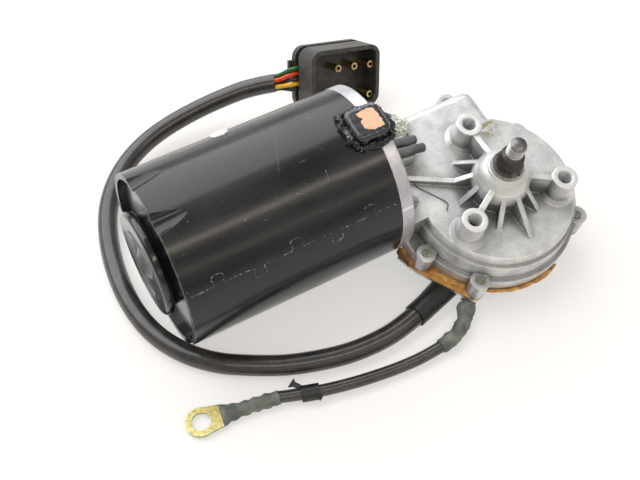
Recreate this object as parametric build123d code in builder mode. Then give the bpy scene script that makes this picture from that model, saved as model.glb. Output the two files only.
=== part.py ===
from build123d import *
import os
from math import asin, atan2, cos, degrees, hypot, pi, radians, sin, tan

# A truck windscreen wiper motor: a permanent-magnet motor in a rolled steel can drives a
# single-start worm, and the worm turns a wheel on a short threaded output shaft that
# stands square to the motor. Millimetres.
#
# Working frame: +X runs along the motor axis from the can towards the gearbox, +Z is the
# output shaft, and the origin is on the motor axis where the can meets the casting.
# Each piece is modelled there and then laid down as the motor rests on a bench, on its
# can and on the edge of its dished cover, so the output shaft leans by a few degrees.

os.makedirs("parts", exist_ok=True)

# ---------------------------------------------------------------- fits
running_fit = 0.03  # radial, a shaft in its bush
seat_gap = 0.05  # a piece dropped or pressed into its seat
contact_gap = 0.3  # a sliding contact and what it touches

# ---------------------------------------------------------------- motor barrel
can_r = 40.0
can_wall = 2.5
can_length = 101.0
notch_length = 11.0  # window at the front edge for the terminal cap
notch_width = 14.0
dent_angles = (60, 95, 205, 330)  # from +Y towards +Z
dent_r = 7.0
dent_depth = 3.0
dent_wall = 1.8
dent_length = 16.0
dent_taper = 12  # degrees
vent_x = -55.0
vent_angle = 40
vent_r = 4.0

end_plate_t = 2.0
end_inset = 3.0  # rear rim of the can to the end plate
neck_r = 21.0
disc_r = 24.0
disc_t = 4.5
disc_gap = 3.7  # end plate to the back of the raised disc
pip_r = 6.0
pip_t = 0.8

magnet_t = 6.0
magnet_length = 60.0
magnet_span = 128  # degrees
air_gap = 1.0
core_front = -30.0
core_room = 12.0  # end plate to the rear end of the core
slot_count = 10
commutator_r = 12.5
commutator_length = 16.0
commutator_x = -24.0
shaft_r = 4.0

# ---------------------------------------------------------------- casting
ring_t = 6.0
spigot_length = 4.0
spigot_wall = 7.0
bearing_r = 11.0
bearing_width = 7.0
bearing_x = -2.0
race_t = 1.8
ball_count = 7

# Worm and wheel: one start, so the output turns once for wheel_teeth turns of the motor.
tooth_module = 1.1
wheel_teeth = 61
worm_pitch_r = 4.45
worm_turns = 6
flank_angle = 20
flank_gap = 0.12
wheel_width = 10.0
worm_pitch = pi * tooth_module
wheel_pitch_r = tooth_module * wheel_teeth / 2
gear_centres = wheel_pitch_r + worm_pitch_r
worm_tip_r = worm_pitch_r + tooth_module
worm_root_r = worm_pitch_r - 1.25 * tooth_module
wheel_tip_r = wheel_pitch_r + tooth_module
wheel_root_r = wheel_pitch_r - 1.25 * tooth_module

shaft_x = 51.0  # can edge to the output shaft
deck_z = 8.0
step_z = 3.2
flange_z = -6.0
joint_z = -14.0
rim_r = 37.0
step_r = 38.8
flange_r = 41.4
chamber_gap = 0.6
chamber_r = wheel_tip_r + chamber_gap
chamber_top = wheel_width / 2 + 0.8
tunnel_r = worm_tip_r + 0.65
tunnel_half = 13.5  # motor axis to the casting's outer wall
tunnel_end = 69.5
deck_round = 4.5

boss_count = 3
boss_pcd = 56.5
boss_first = 90  # degrees from +X
boss_top = 20.5
boss_r = 5.8
boss_draft = 4
thread_hole_r = 3.4  # M8 tapping size

hub_r = 12.8
hub_shoulder_z = 16.0
hub_top_r = 8.6
hub_top = 26.0
rib_t = 2.4
rib_root_z = 19.0
rib_tips = {120: 22.0, 180: 21.0, 240: 22.0, 270: 29.0, 300: 22.0}  # degrees: tip radius
long_rib_angle = 150
long_rib_tip = 44.0
long_rib_rise = 2.4
wall_t = 2.8

lug_r = 4.6
lug_top = -4.0
rim_lugs = [(194.2, 1.4), (231.2, 0.9), (322.9, 0.6), (37.1, 0.6)]  # degrees, mm past the flange
tunnel_lugs = [(62.0, 3.0), (14.0, 9.5)]  # x, mm past the tunnel's outer wall
lug_centres = [(shaft_x + (flange_r + past) * cos(radians(angle)),
                -gear_centres + (flange_r + past) * sin(radians(angle))) for angle, past in rim_lugs]
lug_centres += [(x, tunnel_half + past) for x, past in tunnel_lugs]
screw_r = 1.9
screw_head_r = 3.6
screw_head_t = 2.6
screw_tip = 0.6  # how far a cover screw comes through its lug
tab_place = lug_centres[1]  # the cover screw that clamps the ground tab
tab_t = 0.8
tab_r = 4.6
tab_width = 7.0

# ---------------------------------------------------------------- cover
gasket_t = 1.0
cover_t = 1.5
dish_r = 30.0
dish_depth = 9.6
dish_round = 2.5
gasket_land = 3.5
ledge_width = 4.6  # how far the cover stands out past the casting's foot

# ---------------------------------------------------------------- output shaft
output_r = 6.0
bush_t = 1.5
cone_z = 30.5
cone_top_z = 36.2
cone_r = 6.1
cone_top_r = 5.2
stud_r = 4.0
stud_top = 45.2
shaft_head_r = 8.5
washer_r = 6.9
washer_t = 0.8
clip_r = 7.2
clip_t = 1.1

# ---------------------------------------------------------------- how it lies on the bench
cover_bottom = joint_z - gasket_t - cover_t - dish_depth
dish_reach = gear_centres + dish_r - dish_round
dish_drop = -(cover_bottom + dish_round)
lean = asin((can_r - dish_round) / hypot(dish_reach, dish_drop)) - atan2(dish_drop, dish_reach)
middle_x = -7.3  # the footprint's middle, which is the bench frame's origin
middle_y = -18.05377
ON_BENCH = Location((-middle_x, -middle_y, can_r), (degrees(lean), 0, 0))

# ---------------------------------------------------------------- terminal cap and tubes
cap_length = 18.6
cap_width = 18.0
cap_front = 7.6
cap_top = 45.0
cap_round = 4.5
cap_edge_round = 2.2
bead_width = 2.2
bead_top = 40.9
tube_r = 2.1
tube_z = 16.6
tube_ends = [((9.0, -5.8), (28.0, -9.6)), ((9.0, -0.8), (26.5, -4.3))]
saddle_at = (14.5, -5.3)
saddle_size = (17.0, 12.4)
saddle_height = 7.6
lead_pad_at = (12.0, 7.5)
lead_pad_size = (14.0, 12.0)
lead_pad_height = 12.0
gussets = [(-28.0, 11.0), (22.0, 16.0)]  # y, height on the motor flange
gusset_reach = 9.0

# ---------------------------------------------------------------- cable, in the bench frame
cable_r = 4.75
cable_route = [
    (10.0, -41.8, 5.7), (-4.5, -45.8, 5.6), (-18.0, -47.0, 5.2), (-32.7, -45.8, 4.9),
    (-46.5, -42.3, 4.9), (-60.8, -37.0, 4.9), (-74.0, -29.4, 4.9), (-86.4, -21.0, 4.9),
    (-96.7, -9.2, 4.9), (-103.9, 5.5, 4.9), (-106.9, 22.9, 4.9), (-106.0, 43.0, 4.9),
    (-102.3, 62.3, 4.9), (-96.3, 78.8, 6.6), (-87.8, 91.8, 7.9), (-76.2, 102.7, 9.2),
    (-61.7, 110.6, 10.4), (-45.7, 114.7, 11.7), (-28.1, 115.3, 14.2), (-11.8, 112.7, 18.0),
    (0.2, 109.1, 21.1), (10.9, 104.4, 22.6),
]
boot_root = (37.5, -33.0, 6.6)
boot_width = 14.5
boot_height = 7.4
boot_end_r = 5.6
boot_collar = 8.0  # the sleeve over the cable's first straight run

lead_r = 2.7
lead_route = [
    (4.0, -62.4, 3.9), (-5.0, -62.9, 3.4), (-17.0, -62.1, 3.4), (-29.5, -60.5, 3.7), (-41.5, -58.2, 3.9),
    (-52.5, -55.3, 3.9), (-62.5, -51.8, 3.7), (-71.6, -48.0, 3.4),
]
sleeve_r = 3.6
sleeve_route = [
    (26.7, -49.9, 5.2), (23.5, -53.9, 5.0), (19.5, -57.6, 4.8), (14.6, -60.4, 4.5), (9.4, -62.1, 4.2),
    (4.0, -62.4, 3.9),
]
lug_sleeve_r = 3.1
lug_sleeve_width = 10.6
lug_sleeve_height = 4.2
lug_sleeve_throat = 8.0  # from the ring's palm to the end of the flattened part
throat_width = 6.8
throat_height = 5.2
clip_run = lead_route[5:7]
clip_gap = 0.15
clip_wall = 0.8
clip_width = 8.0
clip_tail = 7.0
clip_tail_turn = -40  # degrees from the lead's run
clip_tail_width = 2.0
clip_tail_t = 1.4
clip_flare = 4.6

ring_hole_r = 4.2  # M8 clearance
ring_outer_r = 6.9
ring_plate_t = 1.2
palm_reach = 9.4
palm_width = 10.2
ring_centre = (-104.2, -41.9, 1.9)

# ---------------------------------------------------------------- connector, in the bench frame
plug_face = (42.6, 85.2, 26.4)
plug_across = (0.9581, 0.0044, -0.2855)
plug_mating = (0.1293, -0.8981, 0.4192)
plug_width = 42.5
plug_height = 32.0
plug_round = 6.0
plug_wall = 2.2
plug_depth = 19.0
plug_cavity = 12.0
plug_groove = 3.2
groove_depth = 2.6
groove_back = 15.8  # mouth to the groove's rear wall
latch_width = 2.8
latch_t = 1.6
latch_height = 8.0
latch_up = 5.0
plug_tail_width = 34.0
plug_tail_height = 22.0
plug_tail_length = 6.0
pin_r = 1.9
pin_bore_r = 1.0
pin_back = 2.0  # pin tips behind the mouth
pin_places = [(-3.7, 5.4), (6.4, 5.4), (16.6, 5.4), (16.6, -10.6), (-3.7, -10.6)]
wire_r = 1.15
wire_places = {  # across and up in the end of the sheath, then up at the connector
    "green_wire": (-2.2, 2.6, 5.4),
    "red_wire": (1.4, 2.95, 2.7),
    "brown_wire": (-0.6, -0.75, 0.0),
    "yellow_wire": (3.2, 0.1, -2.7),
    "black_wire": (1.3, -3.1, -5.4),
}
wire_lead_out = 0.19  # share of the span that runs straight on from the sheath
wire_lead_in = 0.38


def route_radii(points):
    """Largest arc that each corner's two runs leave room for."""
    radii = []
    for before, corner, after in zip(points, points[1:], points[2:]):
        run_in = Vector(*corner) - Vector(*before)
        run_out = Vector(*after) - Vector(*corner)
        turn = radians(run_in.get_angle(run_out))
        radii.append(0.45 * min(run_in.length, run_out.length) / tan(turn / 2))
    return radii

def cord_path(points):
    """Straight runs joined by tangent arcs."""
    return FilletPolyline(*points, radius=route_radii(points))


def bench_point(x, y, z):
    """Where a point of the working frame ends up on the bench."""
    return (Location(ON_BENCH) * Location((x, y, z))).position


def save(builder, name, lay_down=True):
    """Label a finished piece and write it, laid down on the bench."""
    piece = builder.part.moved(ON_BENCH) if lay_down else builder.part
    piece.label = name
    export_step(piece, f"parts/{name}.step")


def gear_plane(z):
    """Plane square to the output shaft, centred on it."""
    return Plane((shaft_x, -gear_centres, z))


def barrel_plane(x):
    """Plane square to the motor axis: local x is +Y and local y is +Z."""
    return Plane((x, 0, 0), x_dir=(0, 1, 0), z_dir=(1, 0, 0))


def radial_plane(angle):
    """Plane through the output shaft: local x runs outwards, local y is +Z."""
    across = (cos(radians(angle)), sin(radians(angle)), 0)
    return Plane((shaft_x, -gear_centres, 0), x_dir=across, z_dir=(across[1], -across[0], 0))


output_axis = Axis((shaft_x, -gear_centres, 0), (0, 0, 1))
spigot_r = can_r - can_wall - seat_gap
bush_end_r = 5.0
bush_x = 62.3
bush_length = 5.0

# ---------------------------------------------------------------- rolled can
def dent_cones(radius, mode):
    """Cones that narrow from the rear rim, one at each dent."""
    reach = can_r + dent_r - dent_depth
    for angle in dent_angles:
        with BuildSketch(barrel_plane(-can_length)) as section:
            with Locations((reach * cos(radians(angle)), reach * sin(radians(angle)))):
                Circle(radius)
        extrude(section.sketch, amount=dent_length, taper=dent_taper, mode=mode)


# The dents are pressed inwards, so each leaves a bump inside that holds the end plate.
with BuildPart() as dent_bumps:
    dent_cones(dent_r + dent_wall, Mode.ADD)
    with BuildSketch(barrel_plane(-can_length)):
        Circle(can_r - can_wall / 2)
    extrude(amount=can_length, mode=Mode.INTERSECT)

with BuildPart() as motor_can:
    with BuildSketch(barrel_plane(-can_length)):
        Circle(can_r)
        Circle(can_r - can_wall, mode=Mode.SUBTRACT)
    extrude(amount=can_length)
    add(dent_bumps.part)
    dent_cones(dent_r, Mode.SUBTRACT)
    with BuildSketch(Plane.XY.offset(can_r / 2)):
        with Locations((-notch_length / 2, 0)):
            Rectangle(notch_length, notch_width)
    extrude(amount=can_r, mode=Mode.SUBTRACT)
    vent_out = (0, cos(radians(vent_angle)), sin(radians(vent_angle)))
    vent_plane = Plane((vent_x, 0, 0), x_dir=(1, 0, 0), z_dir=vent_out)
    with BuildSketch(vent_plane.offset(can_r / 2)):
        Circle(vent_r + seat_gap)
    extrude(amount=can_r, mode=Mode.SUBTRACT)
save(motor_can, "motor_can")

with BuildPart() as vent_plug:
    with BuildSketch(vent_plane.offset(can_r - can_wall)):
        Circle(vent_r)
    extrude(amount=can_wall + 0.8)
    chamfer(vent_plug.faces().sort_by(Axis(vent_plane.origin, vent_out))[-1].edges(), 0.5)
save(vent_plug, "vent_plug")

# ---------------------------------------------------------------- rear end shield
plate_x = -can_length + end_inset
disc_front = plate_x - disc_gap
disc_back = disc_front - disc_t
pocket_r = 9.0
with BuildPart() as rear_cap:
    with BuildSketch(Plane.XZ):
        with BuildLine():
            Polyline(
                (plate_x + end_plate_t, 0), (plate_x + end_plate_t, spigot_r), (plate_x, spigot_r),
                (plate_x, neck_r), (disc_front, neck_r), (disc_front, disc_r), (disc_back, disc_r),
                (disc_back, pip_r + 10), (disc_back + 0.8, pip_r + 8), (disc_back + 0.8, pip_r + 2),
                (disc_back, pip_r), (disc_back - pip_t, pip_r - 1.5), (disc_back - pip_t, 0), close=True)
        make_face()
    revolve(axis=Axis.X)
    fillet(rear_cap.edges().filter_by(GeomType.CIRCLE).filter_by(
        lambda edge: abs(edge.radius - disc_r) < 0.01), 1.6)
    with BuildSketch(barrel_plane(plate_x + end_plate_t)):
        Circle(pocket_r)
    extrude(amount=-(disc_gap + disc_t), mode=Mode.SUBTRACT)
    dent_cones(dent_r + dent_wall + seat_gap, Mode.SUBTRACT)
save(rear_cap, "rear_cap")

rear_bush_x = disc_back + 2.5
rear_bush_length = 7.0
with BuildPart() as rear_bush:
    with BuildSketch(barrel_plane(rear_bush_x)):
        Circle(pocket_r - seat_gap)
        Circle(shaft_r + running_fit, mode=Mode.SUBTRACT)
    extrude(amount=rear_bush_length)
    chamfer(rear_bush.edges().filter_by(GeomType.CIRCLE).sort_by(SortBy.RADIUS)[-2:], 1.2)
save(rear_bush, "rear_bush")

clip_sheet = 0.6
with BuildPart() as bush_retainer:
    with BuildSketch(barrel_plane(plate_x + end_plate_t)):
        Circle(pocket_r + 6)
        with PolarLocations(pocket_r + 1, 6):
            Rectangle(5, 1.6, mode=Mode.SUBTRACT)
        Circle(shaft_r + 2, mode=Mode.SUBTRACT)
    extrude(amount=clip_sheet)
save(bush_retainer, "bush_retainer")

# ---------------------------------------------------------------- magnets and their clips
magnet_outer_r = can_r - can_wall - seat_gap
magnet_inner_r = magnet_outer_r - magnet_t
core_x = plate_x + end_plate_t + core_room
core_length = core_front - core_x
magnet_x = core_x + core_length / 2 - magnet_length / 2
core_r = magnet_inner_r - air_gap
for name, side in (("upper_magnet", 1), ("lower_magnet", -1)):
    with BuildPart() as magnet:
        with BuildSketch(barrel_plane(magnet_x)):
            Circle(magnet_outer_r)
            Circle(magnet_inner_r, mode=Mode.SUBTRACT)
            half = radians(magnet_span / 2)
            reach = 2 * can_r
            corner = (reach * sin(half), side * reach * cos(half))
            Polygon((0, 0), (-corner[0], corner[1]), (-reach, side * reach * 1.2),
                    (reach, side * reach * 1.2), corner, align=None, mode=Mode.INTERSECT)
        extrude(amount=magnet_length)
    save(magnet, name)

clip_wire = 1.0
with BuildPart() as magnet_clips:
    with BuildSketch(barrel_plane(magnet_x)):
        gap_half = radians((180 - magnet_span) / 2)
        for side in (1, -1):
            tip = (side * (magnet_inner_r + 3) * cos(gap_half - 0.03),
                   (magnet_inner_r + 3) * sin(gap_half - 0.03))
            bow = (side * (magnet_outer_r - 1.2), 0)
            with BuildLine() as bow_line:
                ThreePointArc(tip, bow, (tip[0], -tip[1]))
            trace(bow_line.line, line_width=clip_wire)
    extrude(amount=magnet_length)
save(magnet_clips, "magnet_clips")

# ---------------------------------------------------------------- casting
foot_lug_x, foot_lug_y = lug_centres[0]
foot_outline = [
    (ring_t - 1, -36.0), (foot_lug_x - lug_r + 0.4, foot_lug_y + 2), lug_centres[0], lug_centres[1],
    (shaft_x, -gear_centres),
]
neck_outline = [
    (ring_t - 1, -37.5), (shaft_x - rim_r, -37.5), (shaft_x, -gear_centres), (tunnel_end, -12),
    (tunnel_end, tunnel_half), (31, tunnel_half), (22, 20), (14, 26), (ring_t - 1, 30),
]
with BuildPart() as neck:
    with BuildSketch(Plane.XY.offset(flange_z - 1)) as neck_plan:
        Polygon(*neck_outline, align=None)
        fillet(neck_plan.vertices().filter_by(lambda v: v.Y > 5 and v.X > 10), 5)
    extrude(amount=deck_z - flange_z + 1)
    fillet(neck.faces().sort_by(Axis.Z)[-1].edges().filter_by(
        lambda edge: edge.center().Y > 5), deck_round)


cover_left = ring_t + 0.3


def cover_outline(grow):
    """Outline shared by the casting's flange, the gasket and the cover."""
    with Locations((shaft_x, -gear_centres)):
        Circle(flange_r + grow)
    Polygon((cover_left, -37.0), (shaft_x, -gear_centres), (tunnel_end + 2, -12),
            (tunnel_end + 2, tunnel_half + 2), (30, tunnel_half + 2), (14, 24), (cover_left, 24), align=None)
    for x, y in lug_centres:
        with Locations((x, y)):
            Circle(lug_r + grow)
        inward = degrees(atan2(-gear_centres - y, shaft_x - x))
        with Locations(Location((x, y, 0), (0, 0, inward))):
            Rectangle(12, 2 * lug_r - 1, align=(Align.MIN, Align.CENTER))


def cover_skirt():
    """Ledge of the cover past the casting's foot, where the cable comes out below."""
    with Locations(*lug_centres[:2]):
        Circle(lug_r)
    (x0, y0), (x1, y1) = lug_centres[:2]
    Polygon((1.0, -41.0), (x0 - ledge_width, y0 - ledge_width / 2),
            (x1 - ledge_width, y1 - ledge_width / 2), (shaft_x, -gear_centres - dish_r),
            (shaft_x, -gear_centres), align=None)


def breather_tubes_at(radius, mode):
    """Both breather tubes, or the grooves they lie in."""
    for (x0, y0), (x1, y1) in tube_ends:
        along = Vector(x1 - x0, y1 - y0, 0)
        with BuildSketch(Plane(Vector(x0, y0, tube_z), x_dir=(0, 0, 1), z_dir=along)) as section:
            Circle(radius)
        extrude(section.sketch, amount=along.length, mode=mode)


spigot_inner_r = spigot_r - spigot_wall
tunnel_x = bush_x - 0.2
with BuildPart() as gear_housing:
    with BuildSketch(Plane.XZ.offset(gear_centres)):
        with BuildLine():
            Polyline(
                (shaft_x, joint_z), (shaft_x + flange_r, joint_z), (shaft_x + flange_r, flange_z),
                (shaft_x + step_r + 0.7, flange_z), (shaft_x + step_r, step_z),
                (shaft_x + rim_r + 0.5, step_z), (shaft_x + rim_r, deck_z), (shaft_x, deck_z), close=True)
        make_face()
    revolve(axis=output_axis)
    fillet(gear_housing.edges().filter_by(GeomType.CIRCLE).group_by(Axis.Z)[-1], 1.4)
    add(neck.part)
    with BuildSketch(Plane.XY.offset(joint_z)):
        cover_outline(0)
        Polygon(*foot_outline, align=None)
    extrude(amount=flange_z - joint_z)
    with BuildSketch(Plane.XY.offset(joint_z)):
        with Locations(*lug_centres):
            Circle(lug_r)
    extrude(amount=lug_top - joint_z)
    # Motor flange with its spigot and the bearing seat.
    with BuildSketch(barrel_plane(0)):
        Circle(can_r)
    extrude(amount=ring_t)
    with BuildSketch(barrel_plane(-spigot_length)):
        Circle(spigot_r)
        Circle(spigot_inner_r, mode=Mode.SUBTRACT)
    extrude(amount=spigot_length)
    with BuildSketch(barrel_plane(bearing_x - 1)):
        Circle(bearing_r + 3)
    extrude(amount=1 - bearing_x)
    # Gussets brace the motor flange on the deck.
    for y, rise in gussets:
        gusset_end = ring_t + gusset_reach
        with BuildSketch(Plane.XZ.offset(-y)):
            Polygon((ring_t - 1, deck_z - 1), (gusset_end, deck_z - 1), (gusset_end, deck_z),
                    (ring_t, deck_z + rise), (ring_t - 1, deck_z + rise), align=None)
        extrude(amount=rib_t / 2, both=True)
    # Hub, ribs and bosses.
    with BuildSketch(Plane.XZ.offset(gear_centres)):
        with BuildLine():
            Line((shaft_x, deck_z - 1), (shaft_x + hub_r + 0.6, deck_z - 1))
            Line((shaft_x + hub_r + 0.6, deck_z - 1), (shaft_x + hub_r, hub_shoulder_z))
            ThreePointArc((shaft_x + hub_r, hub_shoulder_z), (shaft_x + 11.7, 21.5),
                          (shaft_x + hub_top_r, hub_top - 0.8))
            Polyline((shaft_x + hub_top_r, hub_top - 0.8), (shaft_x + hub_top_r - 0.4, hub_top),
                     (shaft_x, hub_top), (shaft_x, deck_z - 1))
        make_face()
    revolve(axis=output_axis)
    for angle, tip in rib_tips.items():
        with BuildSketch(radial_plane(angle)):
            Polygon((hub_r - 3, deck_z - 1), (tip + 1, deck_z - 1), (tip, deck_z + 0.3),
                    (hub_r - 0.6, rib_root_z), (hub_r - 3, rib_root_z), align=None)
        extrude(amount=rib_t / 2, both=True)
    with BuildSketch(radial_plane(long_rib_angle)):
        Polygon((hub_r - 3, deck_z - 1), (long_rib_tip, deck_z - 1), (long_rib_tip, deck_z + long_rib_rise),
                (hub_r + 7, deck_z + long_rib_rise + 0.8), (hub_r - 0.6, rib_root_z - 1),
                (hub_r - 3, rib_root_z - 1), align=None)
    extrude(amount=rib_t / 2, both=True)
    boss_draft_height = boss_top - deck_z + 1
    for number in range(boss_count):
        angle = boss_first + number * 360 / boss_count
        with BuildSketch(radial_plane(angle)):
            Polygon((hub_r - 3, deck_z - 1), (boss_pcd / 2, deck_z - 1), (boss_pcd / 2, boss_top - 1.2),
                    (hub_r + 3, boss_top - 0.2), (hub_r - 3, boss_top + 1.5), align=None)
        extrude(amount=wall_t / 2, both=True)
    with BuildSketch(gear_plane(boss_top)):
        with PolarLocations(boss_pcd / 2, boss_count, start_angle=boss_first):
            Circle(boss_r)
    extrude(amount=-boss_draft_height, taper=-boss_draft)
    with BuildSketch(gear_plane(deck_z + 2)):
        with PolarLocations(boss_pcd / 2, boss_count, start_angle=boss_first):
            Circle(boss_r + 0.6)
    extrude(amount=-2.5, taper=-45)
    # Saddle for the breather tubes and the raised lead-through beside it.
    with BuildSketch(Plane.XY.offset(deck_z - 1)):
        with Locations(saddle_at):
            RectangleRounded(*saddle_size, 1.5)
    extrude(amount=saddle_height + 1, taper=3)
    with BuildSketch(Plane.XY.offset(deck_z - 1)):
        with Locations(lead_pad_at):
            RectangleRounded(*lead_pad_size, 2.0)
    extrude(amount=lead_pad_height + 1, taper=4)
    # Wheel chamber, worm tunnel and bores.
    with BuildSketch(gear_plane(joint_z)):
        Circle(chamber_r)
    extrude(amount=chamber_top - joint_z, mode=Mode.SUBTRACT)
    with BuildSketch(Plane.XY.offset(joint_z)):
        Polygon((ring_t + 3, -33.0), (shaft_x, -33.0), (shaft_x, -9.0), (ring_t + 3, -9.0), align=None)
    extrude(amount=chamber_top - joint_z - 2, mode=Mode.SUBTRACT)
    with BuildSketch(barrel_plane(bearing_x - 1)):
        Circle(bearing_r + seat_gap)
    extrude(amount=bearing_width + 1, mode=Mode.SUBTRACT)
    with BuildSketch(barrel_plane(0)):
        Circle(tunnel_r)
    extrude(amount=tunnel_x, mode=Mode.SUBTRACT)
    with BuildSketch(barrel_plane(tunnel_x)):
        Circle(bush_end_r + seat_gap)
    extrude(amount=bush_length + 0.2, mode=Mode.SUBTRACT)
    with BuildSketch(gear_plane(joint_z)):
        Circle(output_r + bush_t + seat_gap)
    extrude(amount=hub_top - 4 - joint_z, mode=Mode.SUBTRACT)
    with BuildSketch(gear_plane(joint_z)):
        Circle(output_r + 0.4)
    extrude(amount=hub_top - joint_z + 1, mode=Mode.SUBTRACT)
    with BuildSketch(gear_plane(boss_top)):
        with PolarLocations(boss_pcd / 2, boss_count, start_angle=boss_first):
            Circle(thread_hole_r)
    extrude(amount=-(boss_top - deck_z), mode=Mode.SUBTRACT)
    with BuildSketch(Plane.XY.offset(joint_z)):
        with Locations(*lug_centres):
            Circle(screw_r + seat_gap)
    extrude(amount=lug_top + 1 - joint_z, mode=Mode.SUBTRACT)
    breather_tubes_at(tube_r + seat_gap, Mode.SUBTRACT)
save(gear_housing, "gear_housing")

# ---------------------------------------------------------------- motor bearing
with BuildPart() as bearing_outer_race:
    with BuildSketch(barrel_plane(bearing_x)):
        Circle(bearing_r)
        Circle(bearing_r - race_t, mode=Mode.SUBTRACT)
    extrude(amount=bearing_width)
save(bearing_outer_race, "bearing_outer_race")

with BuildPart() as bearing_inner_race:
    with BuildSketch(barrel_plane(bearing_x)):
        Circle(shaft_r + race_t)
        Circle(shaft_r, mode=Mode.SUBTRACT)
    extrude(amount=bearing_width)
save(bearing_inner_race, "bearing_inner_race")

ball_ring_r = (bearing_r + shaft_r) / 2
ball_r = (bearing_r - shaft_r) / 2 - race_t - seat_gap
with BuildPart() as bearing_balls:
    with BuildSketch(barrel_plane(bearing_x + bearing_width / 2)):
        with PolarLocations(ball_ring_r, ball_count):
            Rectangle(ball_r, ball_r)
    ball_places = [face.center() for face in bearing_balls.pending_faces]
    bearing_balls.pending_faces.clear()
    bearing_balls.pending_face_planes.clear()
    with Locations(*ball_places):
        Sphere(ball_r)
save(bearing_balls, "bearing_balls")

with BuildPart() as worm_end_bush:
    with BuildSketch(barrel_plane(bush_x)):
        Circle(bush_end_r)
        Circle(worm_root_r - 0.05 + running_fit, mode=Mode.SUBTRACT)
    extrude(amount=bush_length)
save(worm_end_bush, "worm_end_bush")

# ---------------------------------------------------------------- brush gear
card_t = 2.0
card_r = spigot_r - 0.6
card_bore_r = commutator_r + 3.5
card_x = -spigot_length - card_t
box_angles = (30, 150, 270)
box_width = 9.0
box_length = 11.0
box_wall = 0.7
box_inner = commutator_r + 1.6
box_outer = 29.0
brush_names = ("low_speed_brush", "high_speed_brush", "common_brush")
choke_r = 3.4
choke_ring_r = 26.0
choke_length = 13.0


def box_plane(angle, distance):
    """Plane square to a brush, with local x along the motor axis."""
    out = (0, cos(radians(angle)), sin(radians(angle)))
    foot = (card_x - box_length / 2, out[1] * distance, out[2] * distance)
    return Plane(foot, x_dir=(1, 0, 0), z_dir=out)


with BuildPart() as brush_card:
    with BuildSketch(barrel_plane(card_x)):
        Circle(card_r)
        Circle(card_bore_r, mode=Mode.SUBTRACT)
    extrude(amount=card_t)
save(brush_card, "brush_card")

with BuildPart() as brush_boxes:
    for angle in box_angles:
        with BuildSketch(box_plane(angle, box_inner)):
            Rectangle(box_length, box_width)
            Rectangle(box_length - 2 * box_wall, box_width - 2 * box_wall, mode=Mode.SUBTRACT)
        extrude(amount=box_outer - box_inner)
        with BuildSketch(box_plane(angle, box_outer)):
            Rectangle(box_length, box_width)
        extrude(amount=box_wall)
save(brush_boxes, "brush_boxes")

brush_end = box_outer - 5.0
for name, angle in zip(brush_names, box_angles):
    with BuildPart() as brush:
        with BuildSketch(box_plane(angle, commutator_r - 1)):
            Rectangle(box_length - 2 * box_wall - 0.2, box_width - 2 * box_wall - 0.2)
        extrude(amount=brush_end - commutator_r + 1)
        with BuildSketch(barrel_plane(commutator_x)):
            Circle(commutator_r + running_fit)
        extrude(amount=commutator_length + 2, mode=Mode.SUBTRACT)
    save(brush, name)

spring_sheet = 0.5
with BuildPart() as brush_springs:
    for angle in box_angles:
        along = box_plane(angle, brush_end)
        zigzag = Plane(along.origin, x_dir=along.y_dir, z_dir=along.x_dir)
        pitch_up = (box_outer - brush_end) / 4
        reach = (box_width - 2 * box_wall) / 2 - 1.6
        with BuildSketch(zigzag):
            with BuildLine() as spring_line:
                Polyline((-reach, 0.3), (reach, pitch_up), (-reach, 2 * pitch_up),
                         (reach, 3 * pitch_up), (-reach, 4 * pitch_up - 0.3))
            trace(spring_line.line, line_width=spring_sheet)
        extrude(amount=2.5, both=True)
save(brush_springs, "brush_springs")

with BuildPart() as choke_coils:
    with BuildSketch(barrel_plane(card_x)):
        with PolarLocations(choke_ring_r, 2, start_angle=90, angular_range=240):
            Circle(choke_r)
    extrude(amount=-choke_length)
save(choke_coils, "choke_coils")

# ---------------------------------------------------------------- armature
rear_end_x = rear_bush_x + 0.4
worm_start = shaft_x - 3.25 * worm_pitch
worm_length = worm_turns * worm_pitch
journal_r = worm_root_r - 0.05
thread_half = worm_pitch / 4 - flank_gap
thread_foot_r = worm_root_r - 0.2


def thread_half_width(r):
    """Half the worm thread's width at a radius."""
    return thread_half - (r - worm_pitch_r) * tan(radians(flank_angle))


with BuildPart() as worm_thread:
    with BuildLine() as thread_line:
        Helix(pitch=worm_pitch, height=worm_length, radius=worm_pitch_r,
              center=(worm_start, 0, 0), direction=(1, 0, 0))
    thread_start = thread_line.line @ 0
    with BuildSketch(Plane(thread_start, x_dir=(0, 0, 1), z_dir=thread_line.line % 0)):
        Polygon((thread_foot_r - worm_pitch_r, -thread_half_width(thread_foot_r)),
                (worm_tip_r - worm_pitch_r, -thread_half_width(worm_tip_r)),
                (worm_tip_r - worm_pitch_r, thread_half_width(worm_tip_r)),
                (thread_foot_r - worm_pitch_r, thread_half_width(thread_foot_r)), align=None)
    sweep(is_frenet=True)

with BuildPart() as armature_shaft:
    with BuildSketch(Plane.XZ):
        with BuildLine():
            Polyline(
                (rear_end_x, 0), (rear_end_x, shaft_r - 0.6), (rear_end_x + 0.6, shaft_r),
                (worm_start - 3, shaft_r), (worm_start - 2, worm_root_r), (bush_x - 0.5, worm_root_r),
                (bush_x - 0.5, journal_r), (bush_x + bush_length - 0.9, journal_r),
                (bush_x + bush_length - 0.3, journal_r - 0.6), (bush_x + bush_length - 0.3, 0), close=True)
        make_face()
    revolve(axis=Axis.X)
    add(worm_thread.part)
save(armature_shaft, "armature_shaft")

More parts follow.
